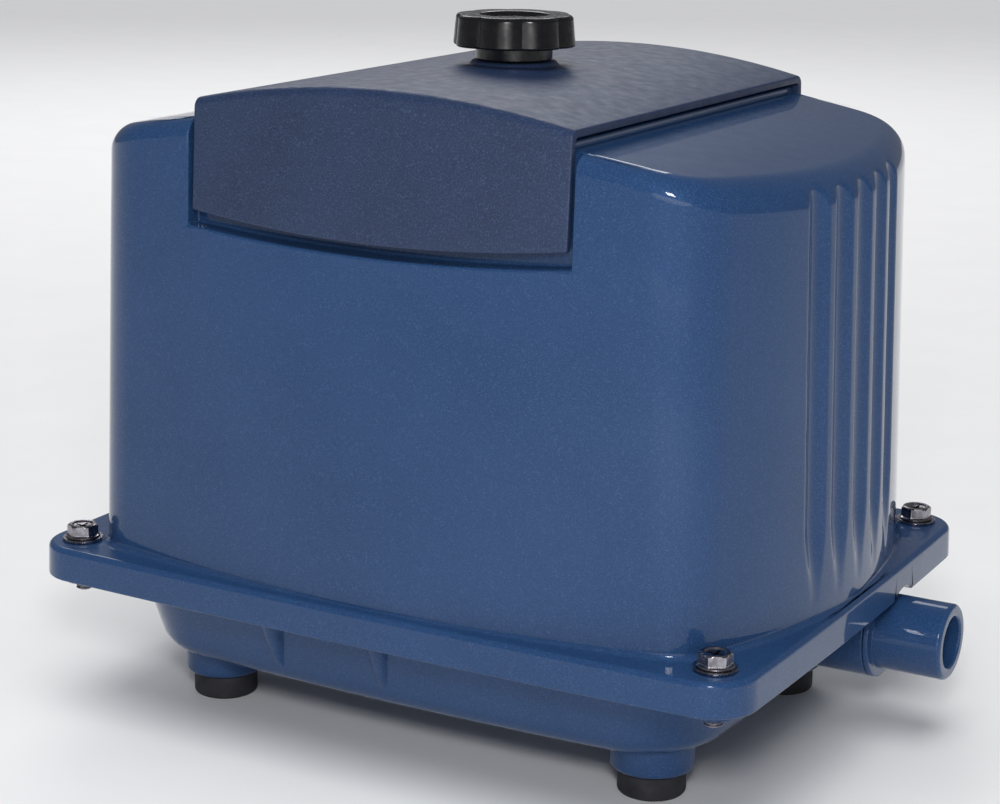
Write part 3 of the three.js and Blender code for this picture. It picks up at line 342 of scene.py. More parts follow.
def slab(outline, y0, y1):
    """An outline of (x, z) points, extruded along Y."""
    count = len(outline)
    front = [(x, y0, z) for x, z in outline]
    back = [(x, y1, z) for x, z in outline]
    faces = [tuple(range(count)), tuple(reversed(range(count, 2 * count)))]
    faces += [(i, i + count, (i + 1) % count + count, (i + 1) % count) for i in range(count)]
    return mesh_object("tool", np.array(front + back, float), faces)


def combine(made, tools, operation="DIFFERENCE"):
    """Cuts each tool from the piece, or joins each to it, and deletes the tools."""
    for tool in tools:
        modifier = made.modifiers.new("cut", "BOOLEAN")
        modifier.object = tool
        modifier.operation = operation
        modifier.solver = "EXACT"
        apply_modifiers(made)
        bpy.data.objects.remove(tool)
    merge(made, 0.03)
    return made


def apply_modifiers(made):
    depsgraph = bpy.context.evaluated_depsgraph_get()
    result = bpy.data.meshes.new_from_object(made.evaluated_get(depsgraph))
    made.modifiers.clear()
    made.data = result


def soften(made, width):
    """Rounds every edge sharper than 40 degrees by width."""
    bevel = made.modifiers.new("edges", "BEVEL")
    bevel.width = width * MM
    bevel.segments = 3
    bevel.limit_method = "ANGLE"
    bevel.angle_limit = math.radians(40)
    bevel.use_clamp_overlap = False
    apply_modifiers(made)
    merge(made, 0.01)


def place(made, material, body, *nodes, smooth=35):
    """Shades the piece, gives it its material and says which CAD nodes it stands for."""
    made.data.materials.clear()
    made.data.materials.append(material)
    made.data.shade_smooth()
    made.data.set_sharp_from_angle(angle=math.radians(smooth))
    weighted = made.modifiers.new("normals", "WEIGHTED_NORMAL")
    weighted.keep_sharp = True
    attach(made, body)
    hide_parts(*nodes)


def at_corners(x, y):
    names = ("front_left", "front_right", "rear_right", "rear_left")
    return [(name, sx * x, sy * y) for name, (sx, sy) in zip(names, ((-1, -1), (1, -1), (1, 1), (-1, 1)))]


def arc_turns(count):
    """Angles from 0 to 90 degrees, in radians."""
    return np.linspace(0, math.pi / 2, count)


def rounded(radius, end, rounding, steps):
    """Profile points that round off a turned solid's rim at the end of its side."""
    turns = arc_turns(steps)
    return [(radius - rounding * (1 - math.cos(t)), end - rounding * (1 - math.sin(t))) for t in turns]


# ---- Hood -------------------------------------------------------------------------------------------
def wall_arcs(z):
    """Radii of the wall's plan at a height. The side's curvature changes evenly up to WALL_STRAIGHT."""
    share = min(max((z - WALL_FOOT) / (WALL_STRAIGHT - WALL_FOOT), 0), 1)
    end, side, corner = zip(WALL_ARCS, WALL_ARCS_HIGH)
    side_arc = 1 / ((1 - share) / side[0] + share / side[1])
    return end[0], side_arc, corner[0] + (corner[1] - corner[0]) * share


def wall_plan(z, inset=0.0):
    rise = z - WALL_FOOT
    half = (WALL_HALF[0] - DRAFT[0] * rise - inset, WALL_HALF[1] - DRAFT[1] * rise - inset)
    return plan(half, [radius - inset for radius in wall_arcs(z)], HOOD_STEPS)


def crown(x):
    return CROWN_TOP - x ** 2 / (2 * CROWN_RADIUS)


def flute_cut(points):
    """Presses the flutes into both ends. Each is a straight groove of round section that follows the
    wall's lean, so it ends in an arch where the shoulder falls away from it."""
    pressed = points.copy()
    x, y, z = np.abs(points[:, 0]), points[:, 1], points[:, 2]
    for n in range(FLUTE_COUNT):
        middle = (n - (FLUTE_COUNT - 1) / 2) * FLUTE_PITCH
        reach = WALL_ARCS[0] - math.sqrt(WALL_ARCS[0] ** 2 - middle ** 2)
        axis = WALL_HALF[0] - DRAFT[0] * (z - WALL_FOOT) + FLUTE_RADIUS - FLUTE_DEPTH - reach
        depth = np.clip((z - FLUTE_POINT) / (FLUTE_FOOT - FLUTE_POINT), 0, 1)
        axis = axis + FLUTE_DEPTH * (1 - depth * (2 - depth) * depth)
        aside = np.clip(np.abs(y - middle) / FLUTE_RADIUS, 0, 1)
        groove = axis - FLUTE_RADIUS * np.sqrt(1 - aside ** 2)
        gap = (x - groove) / FLUTE_BLEND
        soft = x - FLUTE_BLEND * np.logaddexp(0, gap)
        x = np.where((aside < 1) & (z > FLUTE_POINT), soft, x)
    pressed[:, 0] = np.sign(points[:, 0]) * x
    return pressed


def hood_foot_rings():
    """Rings down the cavity, round the skirt and the flange, and up the fillet at the wall's foot."""
    flange = plan(FLANGE_HALF, FLANGE_ARCS, HOOD_STEPS)
    foot = wall_plan(WALL_FOOT)
    cavity = [wall_plan(z, HOOD_WALL) for z in (CAVITY_TOP, WALL_FOOT)]
    rings = [ring(cavity[0], CAVITY_TOP), ring(cavity[1], PLATE_UNDERSIDE)]
    rings.append(ring(flange, PLATE_UNDERSIDE, SKIRT_WALL))
    rings.append(ring(flange, SKIRT_BOTTOM, SKIRT_WALL))
    for turn in arc_turns(4):
        z = SKIRT_BOTTOM + SKIRT_EDGE * (1 - np.cos(turn))
        rings.append(ring(flange, z, SKIRT_EDGE * (1 - np.sin(turn))))
    for turn in arc_turns(7):
        z = FLANGE_TOP - FLANGE_EDGE * (1 - np.sin(turn))
        rings.append(ring(flange, z, FLANGE_STEP + FLANGE_EDGE * (1 - np.cos(turn))))
    spread = np.minimum(FILLET_MOST, FILLET_LEAST + FILLET_GROWTH * np.abs(foot[:, 2] * foot[:, 3]))
    for turn in arc_turns(7)[::-1]:
        rings.append(ring(foot, FLANGE_TOP + spread * (1 - np.sin(turn)), -spread * (1 - np.cos(turn))))
    return rings


def hood_wall_rings():
    """Rings up the wall and over the shoulder, whose rounding is larger at the two ends."""
    rings = []
    for z in (*np.linspace(55.5, 78, 16), 95, 115, 133, WALL_STRAIGHT):
        rings.append(ring(wall_plan(z), z))
    outline = wall_plan(SHOULDER_Z)
    lean = DRAFT[0] * outline[:, 2] ** 2 + DRAFT[1] * outline[:, 3] ** 2
    rounding = SHOULDER_SIDE + (SHOULDER_END - SHOULDER_SIDE) * outline[:, 2] ** 2
    crown_z = crown(outline[:, 0])
    start = crown_z - rounding
    for share in (0.3, 0.55, 0.75, 0.9):
        z = WALL_STRAIGHT + (start - WALL_STRAIGHT) * share
        rings.append(ring(outline, z, lean * (z - SHOULDER_Z)))
    for turn in arc_turns(16):
        drawn = rounding * (1 - np.cos(turn)) + lean * (crown_z - SHOULDER_Z)
        z = crown(outline[:, 0] - drawn * outline[:, 2]) - rounding * (1 - np.sin(turn))
        rings.append(ring(outline, z, lean * (z - SHOULDER_Z) + rounding * (1 - np.cos(turn))))
    return rings


def outlet_bar(radius, low, high):
    """A round bar along the outlet's axis, used as a cutting or joining tool."""
    profile = [(0, low), (radius, low), (radius, high), (0, high)]
    return turning("tool", profile, ROUND_STEPS, (0, *OUTLET_AT), "x")


def arc_strip(half_x, height, flat_z):
    """An outline in X and Z between a height that varies with X and a flat side."""
    xs = np.linspace(half_x, -half_x, STRIP_STEPS + 1)
    return [(x, height(x)) for x in xs] + [(-half_x, flat_z), (half_x, flat_z)]


def bolt_holes(low, high):
    """Cutting tools for the four bolts' holes, between two heights."""
    return [post(BOLT_RADIUS + GAP, low, high, x, y, HOLE_STEPS) for _, x, y in at_corners(*BOLT_AT)]


def sill_height(x):
    return NOTCH_SILL + NOTCH_SILL_RISE * (x / NOTCH_HALF_X) ** 2


def curb_height(x):
    return crown(x) + CURB_RISE


def make_hood(paint):
    rings = hood_foot_rings() + [flute_cut(wall) for wall in hood_wall_rings()]
    hood = mesh_object("hood_shell", *skin(rings))
    outline = arc_strip(NOTCH_HALF_X, sill_height, CROWN_TOP + 4 * PAST)
    far = FLANGE_HALF[1] + 2 * PAST
    combine(hood, [slab(outline, NOTCH_WALL_Y, far), slab(outline, -far, -NOTCH_WALL_Y)])
    outline = arc_strip(CURB_HALF_X, curb_height, TRAY_FLOOR)
    curb_y = NOTCH_WALL_Y - 0.02
    combine(hood, [slab(outline, -curb_y, curb_y)], "UNION")
    inner_x, inner_y = CURB_HALF_X - CURB_WALL, NOTCH_WALL_Y - CURB_WALL
    combine(hood, [block((-inner_x, -inner_y, TRAY_FLOOR), (inner_x, inner_y, CROWN_TOP + 2 * PAST))])
    combine(hood, [post(BOSS_RADIUS, TRAY_FLOOR - 2, BOSS_TOP)], "UNION")
    intake_x, intake_radius = AIR_INTAKE
    tools = [post(STUD_HOLE, TRAY_FLOOR - STUD_SUNK, BOSS_TOP + PAST)]
    tools.append(post(intake_radius, CAVITY_TOP - PAST, TRAY_FLOOR + PAST, x=intake_x))
    tools += bolt_holes(35, 60)
    tools.append(outlet_bar(OUTLET_RELIEF, FLANGE_HALF[0] - SKIRT_WALL - 1, FLANGE_HALF[0] + 2))
    combine(hood, tools)
    soften(hood, 0.7)
    place(hood, paint, "housing", "hood")


# ---- Filter cover, knob -------------------------------------------------------------------------------
def cover_section(x):
    """One closed loop of the cover in Y and Z, from the front panel's foot round the outside and back
    round the inside."""
    share = (x / COVER_HALF_X) ** 2
    top = COVER_TOP - COVER_DROP * share
    foot = PANEL_FOOT + PANEL_FOOT_RISE * share

    def face(z):
        return PANEL_Y - PANEL_LEAN * (z - PANEL_FOOT - PANEL_FOOT_RISE) + PANEL_BULGE * (1 - share)

    def edge(inset, fold):
        turns = arc_turns(9)
        fold_z = top - inset - fold * (1 - np.sin(turns))
        run_z = np.linspace(foot, fold_z[0], 9)[:-1]
        z = np.concatenate([run_z, fold_z])
        y = face(z) - inset
        y[len(run_z):] -= fold * (1 - np.cos(turns))
        flat_y = np.linspace(y[-1], 0, 12)[1:]
        return np.concatenate([np.stack([y, z], 1), np.stack([flat_y, np.full(11, top - inset)], 1)])

    outer, inner = edge(0, COVER_FOLD), edge(COVER_SKIN, COVER_FOLD / 2)
    mirror = np.array([-1, 1])
    loop = np.concatenate([outer * mirror, outer[-2::-1], inner, (inner * mirror)[-2::-1]])
    return np.concatenate([np.full((len(loop), 1), x), loop], 1)


def make_cover(plastic):
    xs = np.linspace(-COVER_HALF_X, COVER_HALF_X, COVER_STEPS + 1)
    sections = [cover_section(x) for x in xs]
    count = len(sections[0])
    vertices, faces = skin(sections, capped=False)
    side = count // 2
    last = (len(sections) - 1) * count
    for i in range(side - 1):
        a, b, c, d = i, i + 1, count - 2 - i, count - 1 - i
        faces += [(a, b, c, d), (last + a, last + d, last + c, last + b)]
    cover = mesh_object("filter_cover_moulding", vertices, faces)
    radius, top = COVER_RING
    low = COVER_TOP - 1
    wide = radius + COVER_RING_SPREAD * (top - low)
    combine(cover, [post(wide, low, top, steps=ROUND_STEPS, top_radius=radius)], "UNION")
    combine(cover, [post(STUD_HOLE, COVER_TOP - 2 * PAST, COVER_TOP + PAST)])
    soften(cover, 0.5)
    place(cover, plastic, "cover", "filter_cover")


def knob_ring(z, inset=0.0):
    """A ring round the knob's lobes, each an arc of a circle. The circles' centres are drawn in by
    the inset, so the creases between them get shallower."""
    count = KNOB_LOBES * LOBE_STEPS
    turn = 2 * math.pi * np.arange(count) / count
    pitch = 2 * math.pi / KNOB_LOBES
    within = (turn + pitch / 2) % pitch - pitch / 2
    orbit = KNOB_RADIUS - KNOB_LOBE_RADIUS - inset
    reach = orbit * np.cos(within) + np.sqrt(KNOB_LOBE_RADIUS ** 2 - (orbit * np.sin(within)) ** 2)
    turn = turn + KNOB_LOBE_TURN
    return np.stack([reach * np.cos(turn), reach * np.sin(turn), np.full(count, float(z))], 1)


def make_knob(plastic):
    count = KNOB_LOBES * LOBE_STEPS
    directions = 2 * math.pi * np.arange(count) / count + KNOB_LOBE_TURN
    around = np.stack([np.cos(directions), np.sin(directions)], 1)

    def circle(radius, z):
        return np.concatenate([radius * around, np.full((count, 1), float(z))], 1)

    rings = [circle(r, z) for r, z in (
        (0.01, KNOB_TOP - 3.3), (STUD_HOLE, KNOB_TOP - 3.3), (STUD_HOLE, NECK_BOTTOM + 1.2),
        (SEAL_SEAT, NECK_BOTTOM + 1.2), (SEAL_SEAT, NECK_BOTTOM),
        (KNOB_NECK - 0.4, NECK_BOTTOM), (KNOB_NECK, NECK_BOTTOM + 0.4),
        (KNOB_NECK, KNOB_BOTTOM - 0.3), (KNOB_NECK + 0.3, KNOB_BOTTOM))]
    low, high = KNOB_EDGES
    for turn in arc_turns(5):
        rings.append(knob_ring(KNOB_BOTTOM + low * (1 - np.cos(turn)), low * (1 - np.sin(turn))))
    for turn in arc_turns(9):
        rings.append(knob_ring(KNOB_TOP - high * (1 - np.sin(turn)), KNOB_DRAFT + high * (1 - np.cos(turn))))
    rings += [circle(r, z) for r, z in (
        (KNOB_DISH + 0.4, KNOB_TOP), (KNOB_DISH, KNOB_TOP - 0.2), (KNOB_DISH - 0.3, KNOB_TOP - 1.0),
        (KNOB_DISH - 0.7, KNOB_TOP - 1.3), (6, KNOB_TOP - 1.45), (0.01, KNOB_TOP - 1.5))]
    knob = mesh_object("star_knob", *skin(rings))
    merge(knob, 0.03)
    place(knob, plastic, "knob", "cover_knob")


# ---- Base, feet, bolts and outlet -----------------------------------------------------------------------
def tub_plan(z, inset=0.0):
    share = (z - TUB_BOTTOM) / (TUB_TOP - TUB_BOTTOM)
    half = [low + (high - low) * share - inset for low, high in zip(TUB_FOOT, TUB_RIM)]
    return plan(half, [a - inset for a in TUB_ARCS], TUB_STEPS)


def swell_ribs(points):
    """Swells the tub's front wall into half-cones, points down."""
    swollen = points.copy()
    x, y, z = points.T
    share = (z - TUB_BOTTOM) / (TUB_TOP - TUB_BOTTOM)
    wall = TUB_FOOT[1] + (TUB_RIM[1] - TUB_FOOT[1]) * share
    grown = np.clip((z - RIB_FOOT) / (TUB_TOP - RIB_FOOT), 0, 1)
    radius = RIB_RADIUS * grown
    share = np.clip((z - RIB_FADE[0]) / (RIB_FADE[1] - RIB_FADE[0]), 0, 1)
    for middle in RIB_X:
        aside = np.abs(x - middle)
        proud = np.sqrt(np.maximum(radius ** 2 - aside ** 2, 0)) - RIB_SUNK * grown
        face = wall + share * (2 - share) * proud
        near = (y < 0) & (aside < radius) & (proud > 0) & (share > 0) & (face > -swollen[:, 1])
        swollen[near, 1] = -face[near]
    return swollen


def make_base(paint):
    flange = plan(FLANGE_HALF, FLANGE_ARCS, TUB_STEPS)
    edge = SKIRT_WALL + GAP
    rings = [ring(tub_plan(TUB_FLOOR, TUB_WALL + 4), TUB_FLOOR)]
    rings.append(ring(tub_plan(LID_TOP, TUB_WALL + 1), BASE_FLANGE_TOP))
    rings += [ring(flange, BASE_FLANGE_TOP, edge), ring(flange, TUB_TOP, edge)]
    wall = []
    for turn in arc_turns(5)[::-1]:
        z = TUB_TOP - TUB_FILLET * (1 - np.sin(turn))
        wall.append(ring(tub_plan(TUB_TOP), z, -TUB_FILLET * (1 - np.cos(turn))))
    wall += [ring(tub_plan(z), z) for z in np.linspace(40, 23, 12)]
    for turn in arc_turns(9)[::-1]:
        z = TUB_BOTTOM + TUB_EDGE * (1 - np.cos(turn))
        wall.append(ring(tub_plan(z), z, TUB_EDGE * (1 - np.sin(turn))))
    base = mesh_object("base_tub", *skin(rings + [swell_ribs(r) for r in wall]))
    rim = rounded(OUTLET_COLLAR, OUTLET_JOINT, 0.4, 4)
    root = TUB_FOOT[0] - 3
    outline = [(0, root), (OUTLET_COLLAR, root), *rim, (0, OUTLET_JOINT)]
    joined = [turning("tool", outline, ROUND_STEPS, (0, *OUTLET_AT), "x")]
    joined += [foot_collar(x, y) for _, x, y in at_corners(*FOOT_AT)]
    joined += [post(BOLT_BOSS[0], BOLT_BOSS[1], TUB_TOP + 1, x, y) for _, x, y in at_corners(*BOLT_AT)]
    combine(base, joined, "UNION")
    inside, outside = 80, 112  # in X, past both faces of the outlet boss
    tools = [outlet_bar(OUTLET_BORE, inside, outside)]
    tools.append(outlet_bar(TAIL_RADIUS + GAP, TAIL_END - GAP, outside))
    tools.append(outlet_bar(OUTLET_COLLAR + GAP, OUTLET_JOINT, outside + 2))
    combine(base, tools + bolt_holes(30, 50))
    place(base, paint, "housing", "base")


def foot_collar(x, y):
    top, waist, foot = COLLAR
    low = FOOT_HEIGHT + GAP
    rounding = waist - foot
    arc = [(foot + rounding * math.sin(t), low + 1.6 * (1 - math.cos(t))) for t in arc_turns(6)]
    profile = [(0, low), *arc, (waist, COLLAR_WAIST), (top, COLLAR_TOP), (0, COLLAR_TOP)]
    return turning("tool", profile, ROUND_STEPS, (x, y, 0))


def make_foot(name, x, y, rubber):
    r, top = FOOT_RADIUS, FOOT_HEIGHT + 0.2
    seat, seat_height = FOOT_SEAT
    bore = BOLT_RADIUS + GAP
    profile = [
        (seat, 0.3), (seat + 0.3, 0), (r - 0.9, 0), (r - 0.5, 0.1), (r - 0.15, 0.5), (r, 1.0),
        (r, top - 0.5), (r - 0.4, top), (bore, top), (bore, seat_height), (seat, seat_height)]
    foot = turning(f"foot_{name}", profile, FOOT_STEPS, (x, y, 0))
    place(foot, rubber, "housing", f"rubber_foot_{name}")


def make_bolt(name, x, y, steel):
    """A flanged hexagon bolt with a dished top and a cross recess."""
    turn = 2 * math.pi * np.arange(ROUND_STEPS) / ROUND_STEPS
    directions = np.stack([np.cos(turn), np.sin(turn)], 1)
    pitch = math.pi / 3
    across = BOLT_FLATS / 2 / np.cos((turn + pitch / 2) % pitch - pitch / 2)

    def level(radius, z):
        radius = np.broadcast_to(radius, (ROUND_STEPS,))[:, None]
        return np.concatenate([directions * radius, np.full((ROUND_STEPS, 1), z)], 1)

    seat = FLANGE_TOP + 1.1
    rings = [level(0.01, BOLT_TIP), level(1.7, BOLT_TIP), level(1.9, BOLT_TIP + 0.15)]
    root = BOLT_RADIUS - THREAD_DEPTH
    for n in range(THREAD_TURNS):
        z = BOLT_TIP + 0.5 + n * THREAD_PITCH
        rings += [level(root, z - 0.28), level(BOLT_RADIUS, z), level(BOLT_RADIUS, z + 0.12)]
    shank = BOLT_RADIUS - 0.1
    rings += [level(root, z + 0.5), level(shank, z + 0.7), level(shank, seat)]
    rings += [level(4.9, seat), level(5.1, seat + 0.25), level(4.9, seat + 0.55)]
    rings += [level(across + 0.15, seat + 0.8), level(across, seat + 1.1), level(across, BOLT_TOP - 0.75)]
    for z, limit in ((-0.45, 4.45), (-0.15, 4.05), (0, 3.75)):
        rings.append(level(np.minimum(across, limit), BOLT_TOP + z))
    for radius, sunk in ((3.1, 0.05), (2.7, 0.5), (1.2, 0.7), (0.01, 0.75)):
        rings.append(level(radius, BOLT_TOP - sunk))
    vertices, faces = skin(rings)
    bolt = mesh_object(f"bolt_{name}", vertices + (x, y, 0), faces)
    merge(bolt, 0.03)
    length, width, depth = BOLT_SLOT
    slots = []
    for a, b in ((length, width), (width, length)):
        slots.append(block((x - a, y - b, BOLT_TOP - depth), (x + a, y + b, BOLT_TOP + 1)))
    combine(bolt, slots)
    place(bolt, steel, "housing", f"flange_bolt_{name}", smooth=28)
    bore, r = BOLT_RADIUS + GAP, WASHER_RADIUS
    low, high = FLANGE_TOP + 0.05, FLANGE_TOP + 1.05
    profile = [(bore, low), (r - 0.1, low), (r, low + 0.15), (r, high - 0.2), (r - 0.15, high), (bore, high)]
    washer = turning(f"washer_{name}", profile, SMALL_STEPS, (x, y, 0))
    place(washer, steel, "housing", f"bolt_washer_{name}")


def make_nozzle(paint):
    face = OUTLET_JOINT + 0.15
    collar_end = face + COLLAR_LENGTH
    outer, inner = OUTLET_EDGES
    tip = rounded(OUTLET_RADIUS, OUTLET_END, outer, 7)
    lip = []
    for turn in arc_turns(5):
        lip.append((OUTLET_BORE + inner * (1 - math.sin(turn)), OUTLET_END - inner * (1 - math.cos(turn))))
    collar = OUTLET_COLLAR
    profile = [
        (OUTLET_BORE, TAIL_END), (TAIL_RADIUS, TAIL_END), (TAIL_RADIUS, face),
        (collar - 0.3, face), (collar, face + 0.3), (collar, collar_end - 0.6),
        (collar - 0.2, collar_end - 0.2), (collar - 0.6, collar_end),
        (OUTLET_RADIUS + 0.5, collar_end), (OUTLET_RADIUS + 0.15, collar_end + 0.15),
        (OUTLET_RADIUS, collar_end + 0.5), *tip, *lip]
    nozzle = turning("nozzle", profile, ROUND_STEPS, (0, *OUTLET_AT), "x")
    place(nozzle, paint, "housing", "outlet_nozzle")


def make_grommet(rubber):
    x, z = GROMMET_AT
    flange, body, web = GROMMET_RADII
    wall_y = WALL_HALF[1] - DRAFT[1] * (z - WALL_FOOT)
    side_arc = wall_arcs(z)[1]

    def face(along):
        return wall_y - along ** 2 / (2 * side_arc)

    back = face(x - flange) - HOOD_WALL - 0.8
    front = face(x + flange) + 0.7
    tip = front + GROMMET_PROUD
    crown_arc = rounded(flange, tip, 1.8, 7)
    profile = [
        (0, back - 2), (flange - 1, back - 2), (flange - 0.3, back - 1.7), (flange, back - 1),
        (flange, back), (body, back), (body, front), (flange - 0.2, front), (flange, front + 0.2), *crown_arc,
        (web + 0.6, tip), (web + 0.15, tip - 0.2), (web, tip - 0.7), (web, front - 1.6),
        (web - 0.4, front - 2), (0, front - 2)]
    grommet = turning("cable_inlet", profile, SMALL_STEPS, (x, 0, z), "y")
    place(grommet, rubber, "housing", "cable_grommet")


# ---- Materials ---------------------------------------------------------------------------------------------
def srgb(red, green, blue):
    """Linear colour from 0 to 255 display values."""
    shares = [value / 255 for value in (red, green, blue)]
    return (*(v / 12.92 if v <= 0.04 else ((v + 0.055) / 1.055) ** 2.4 for v in shares), 1.0)


class Look:
    """A material under construction: a Principled shader and the nodes that feed it."""

    def __init__(self, name, color, roughness, metallic=0.0, **sockets):
        self.material = bpy.data.materials.new(name)
        self.material["slot"] = name
        self.material.use_nodes = True
        self.tree = self.material.node_tree
        self.shader = self.tree.nodes["Principled BSDF"]
        self.shader.inputs["Base Color"].default_value = color
        self.shader.inputs["Roughness"].default_value = roughness
        self.shader.inputs["Metallic"].default_value = metallic
        for socket, value in sockets.items():
            self.shader.inputs[socket.replace("_", " ")].default_value = value
        self.coords = self.tree.nodes.new("ShaderNodeTexCoord").outputs["Object"]

    def add(self, kind, inputs=(), **settings):
        made = self.tree.nodes.new(kind)
        for setting, value in settings.items():
            setattr(made, setting, value)
        for socket, value in dict(inputs).items():
            if isinstance(value, bpy.types.NodeSocket):
                self.tree.links.new(value, made.inputs[socket])
            else:
                made.inputs[socket].default_value = value
        return made

    def noise(self, size, detail=2.0, rough=0.5):
        """Noise whose blobs are about size millimetres across."""
        made = self.add("ShaderNodeTexNoise", {
            "Vector": self.coords, "Scale": 1 / (size * MM), "Detail": detail, "Roughness": rough})
        return made.outputs["Fac"]

    def cells(self, size):
        made = self.add("ShaderNodeTexVoronoi", {"Vector": self.coords, "Scale": 1 / (size * MM)})
        return made.outputs["Distance"]

    def spread(self, value, low, high, to_low=0.0, to_high=1.0):
        """Maps a value's range low to high onto another, clamped."""
        made = self.add("ShaderNodeMapRange", {
            "Value": value, "From Min": low, "From Max": high, "To Min": to_low, "To Max": to_high})
        return made.outputs["Result"]

    def mix(self, share, first, second):
        made = self.add("ShaderNodeMix", data_type="RGBA")
        self.tree.links.new(share, made.inputs["Factor"])
        for socket, value in (("A", first), ("B", second)):
            target = [i for i in made.inputs if i.name == socket and i.type == "RGBA"][0]
            if isinstance(value, bpy.types.NodeSocket):
                self.tree.links.new(value, target)
            else:
                target.default_value = value
        return [o for o in made.outputs if o.type == "RGBA"][0]

    def bump(self, height, depth):
        """A bump of depth millimetres for a height of 1."""
        inputs = {"Height": height, "Distance": depth * MM, "Strength": 1.0}
        return self.add("ShaderNodeBump", inputs).outputs["Normal"]

    def feed(self, socket, value):
        self.tree.links.new(value, self.shader.inputs[socket])


def blue_paint():
    coat = {"Coat_Weight": 1.0, "Coat_Roughness": 0.04, "Coat_IOR": 1.36}
    look = Look("blue_paint", srgb(36, 66, 108), 0.45, 0.1, **coat, Specular_IOR_Level=0.05)
    fleck = look.spread(look.noise(0.35, 1.0), 0.5, 0.8)
    cloud = look.spread(look.noise(35, 3.0), 0.3, 0.7)
    ground = look.mix(cloud, srgb(34, 64, 105), srgb(39, 69, 111))
    look.feed("Base Color", look.mix(fleck, ground, srgb(62, 92, 136)))
    look.feed("Roughness", look.spread(look.noise(6, 3.0), 0.3, 0.7, 0.38, 0.46))
    peel = look.bump(look.noise(3.5, 1.0), 0.006)
    look.feed("Normal", peel)
    look.feed("Coat Normal", peel)
    return look.material


def cover_plastic():
    look = Look("cover_plastic", srgb(32, 48, 76), 0.5)
    speck = look.spread(look.noise(0.45, 2.0), 0.5, 0.8)
    ground = look.mix(look.spread(look.noise(25, 3.0), 0.3, 0.7), srgb(31, 46, 76), srgb(36, 52, 84))
    look.feed("Base Color", look.mix(speck, ground, srgb(62, 82, 116)))
    look.feed("Roughness", look.spread(look.noise(4, 3.0), 0.3, 0.7, 0.42, 0.56))
    grain = look.bump(look.noise(0.7, 2.0, 0.6), 0.10)
    look.feed("Normal", grain)
    return look.material


def knob_plastic():
    look = Look("knob_plastic", srgb(16, 16, 18), 0.22)
    look.feed("Base Color", look.mix(look.noise(8, 3.0), srgb(12, 12, 14), srgb(22, 22, 25)))
    look.feed("Roughness", look.spread(look.noise(2.5, 4.0), 0.3, 0.7, 0.16, 0.30))
    look.feed("Normal", look.bump(look.noise(1.8, 2.0), 0.01))
    return look.material


def rubber(name, size=0.5):
    look = Look(name, srgb(34, 34, 40), 0.7)
    dusty = look.spread(look.noise(5, 4.0), 0.3, 0.7)
    look.feed("Base Color", look.mix(dusty, srgb(28, 28, 34), srgb(44, 43, 50)))
    look.feed("Roughness", look.spread(look.noise(3, 3.0), 0.3, 0.7, 0.6, 0.82))
    look.feed("Normal", look.bump(look.noise(size, 2.0), 0.04))
    return look.material


def metal(name, dark, light, roughness, grain, metallic=1.0, depth=0.01):
    look = Look(name, light, roughness, metallic)
    look.feed("Base Color", look.mix(look.spread(look.noise(2.2, 4.0), 0.3, 0.7), dark, light))
    look.feed("Roughness", look.spread(look.noise(grain, 3.0), 0.3, 0.7, roughness * 0.75, roughness * 1.3))
    look.feed("Normal", look.bump(look.noise(grain, 3.0), depth))
    return look.material


def filter_foam():
    look = Look("filter_foam", srgb(40, 43, 46), 0.95)
    pores = look.spread(look.cells(1.1), 0.1, 0.7)
    # The colour darkens towards each cell's middle, where the bump below sinks: painted shade in the pores'
    # hollows.
    look.feed("Base Color", look.mix(pores, srgb(14, 15, 16), srgb(58, 61, 64)))
    look.feed("Normal", look.bump(pores, 0.4))
    return look.material


def insulator():
    look = Look("insulator", srgb(214, 209, 196), 0.5)
    look.feed("Base Color", look.mix(look.noise(6, 3.0), srgb(200, 194, 180), srgb(222, 218, 206)))
    look.feed("Normal", look.bump(look.noise(0.8, 2.0), 0.02))
    return look.material


def layered(name, dark, light, pitch, roughness, metallic):
    """Fine parallel lines, for stacked laminations and wound wire."""
    look = Look(name, light, roughness, metallic)
    scale = math.pi / (20 * pitch * MM)
    wave = look.add("ShaderNodeTexWave", {"Vector": look.coords, "Scale": scale, "Distortion": 0.3})
    wave.wave_type = "BANDS"
    wave.bands_direction = "Z"
    # The dark half of each band lies in the bump's valleys. Between wire turns it is painted shade in the
    # grooves; between sheets it is partly the seams' own dark colour, partly painted shade.
    look.feed("Base Color", look.mix(wave.outputs["Fac"], dark, light))
    look.feed("Roughness", look.spread(look.noise(3, 3.0), 0.3, 0.7, roughness * 0.8, roughness * 1.2))
    look.feed("Normal", look.bump(wave.outputs["Fac"], 0.12))
    return look.material


def make_looks():
    looks = [
        blue_paint(), cover_plastic(), knob_plastic(), filter_foam(), insulator(),
        rubber("foot_rubber"), rubber("gasket_rubber", 0.8),
        rubber("diaphragm_rubber", 1.5), rubber("hose_rubber", 0.3),
        metal("plated_steel", srgb(112, 109, 116), srgb(172, 169, 176), 0.26, 1.2),
        metal("cast_alloy", srgb(150, 153, 157), srgb(186, 189, 193), 0.45, 0.9, 1.0, 0.05),
        metal("magnet_ferrite", srgb(40, 40, 43), srgb(66, 66, 70), 0.5, 0.6, 0.5, 0.03),
        layered("core_steel", srgb(60, 61, 64), srgb(128, 130, 134), 0.8, 0.45, 0.9),
        layered("coil_copper", srgb(96, 46, 20), srgb(196, 118, 62), 0.9, 0.35, 0.9),
    ]
    return {material["slot"]: material for material in looks}


# ---- Floor, lights and assembly -------------------------------------------------------------------------
FLOOR_REACH = 6.0  # in metres, as are the lights' sizes and distances
MIDDLE_HEIGHT = 0.1


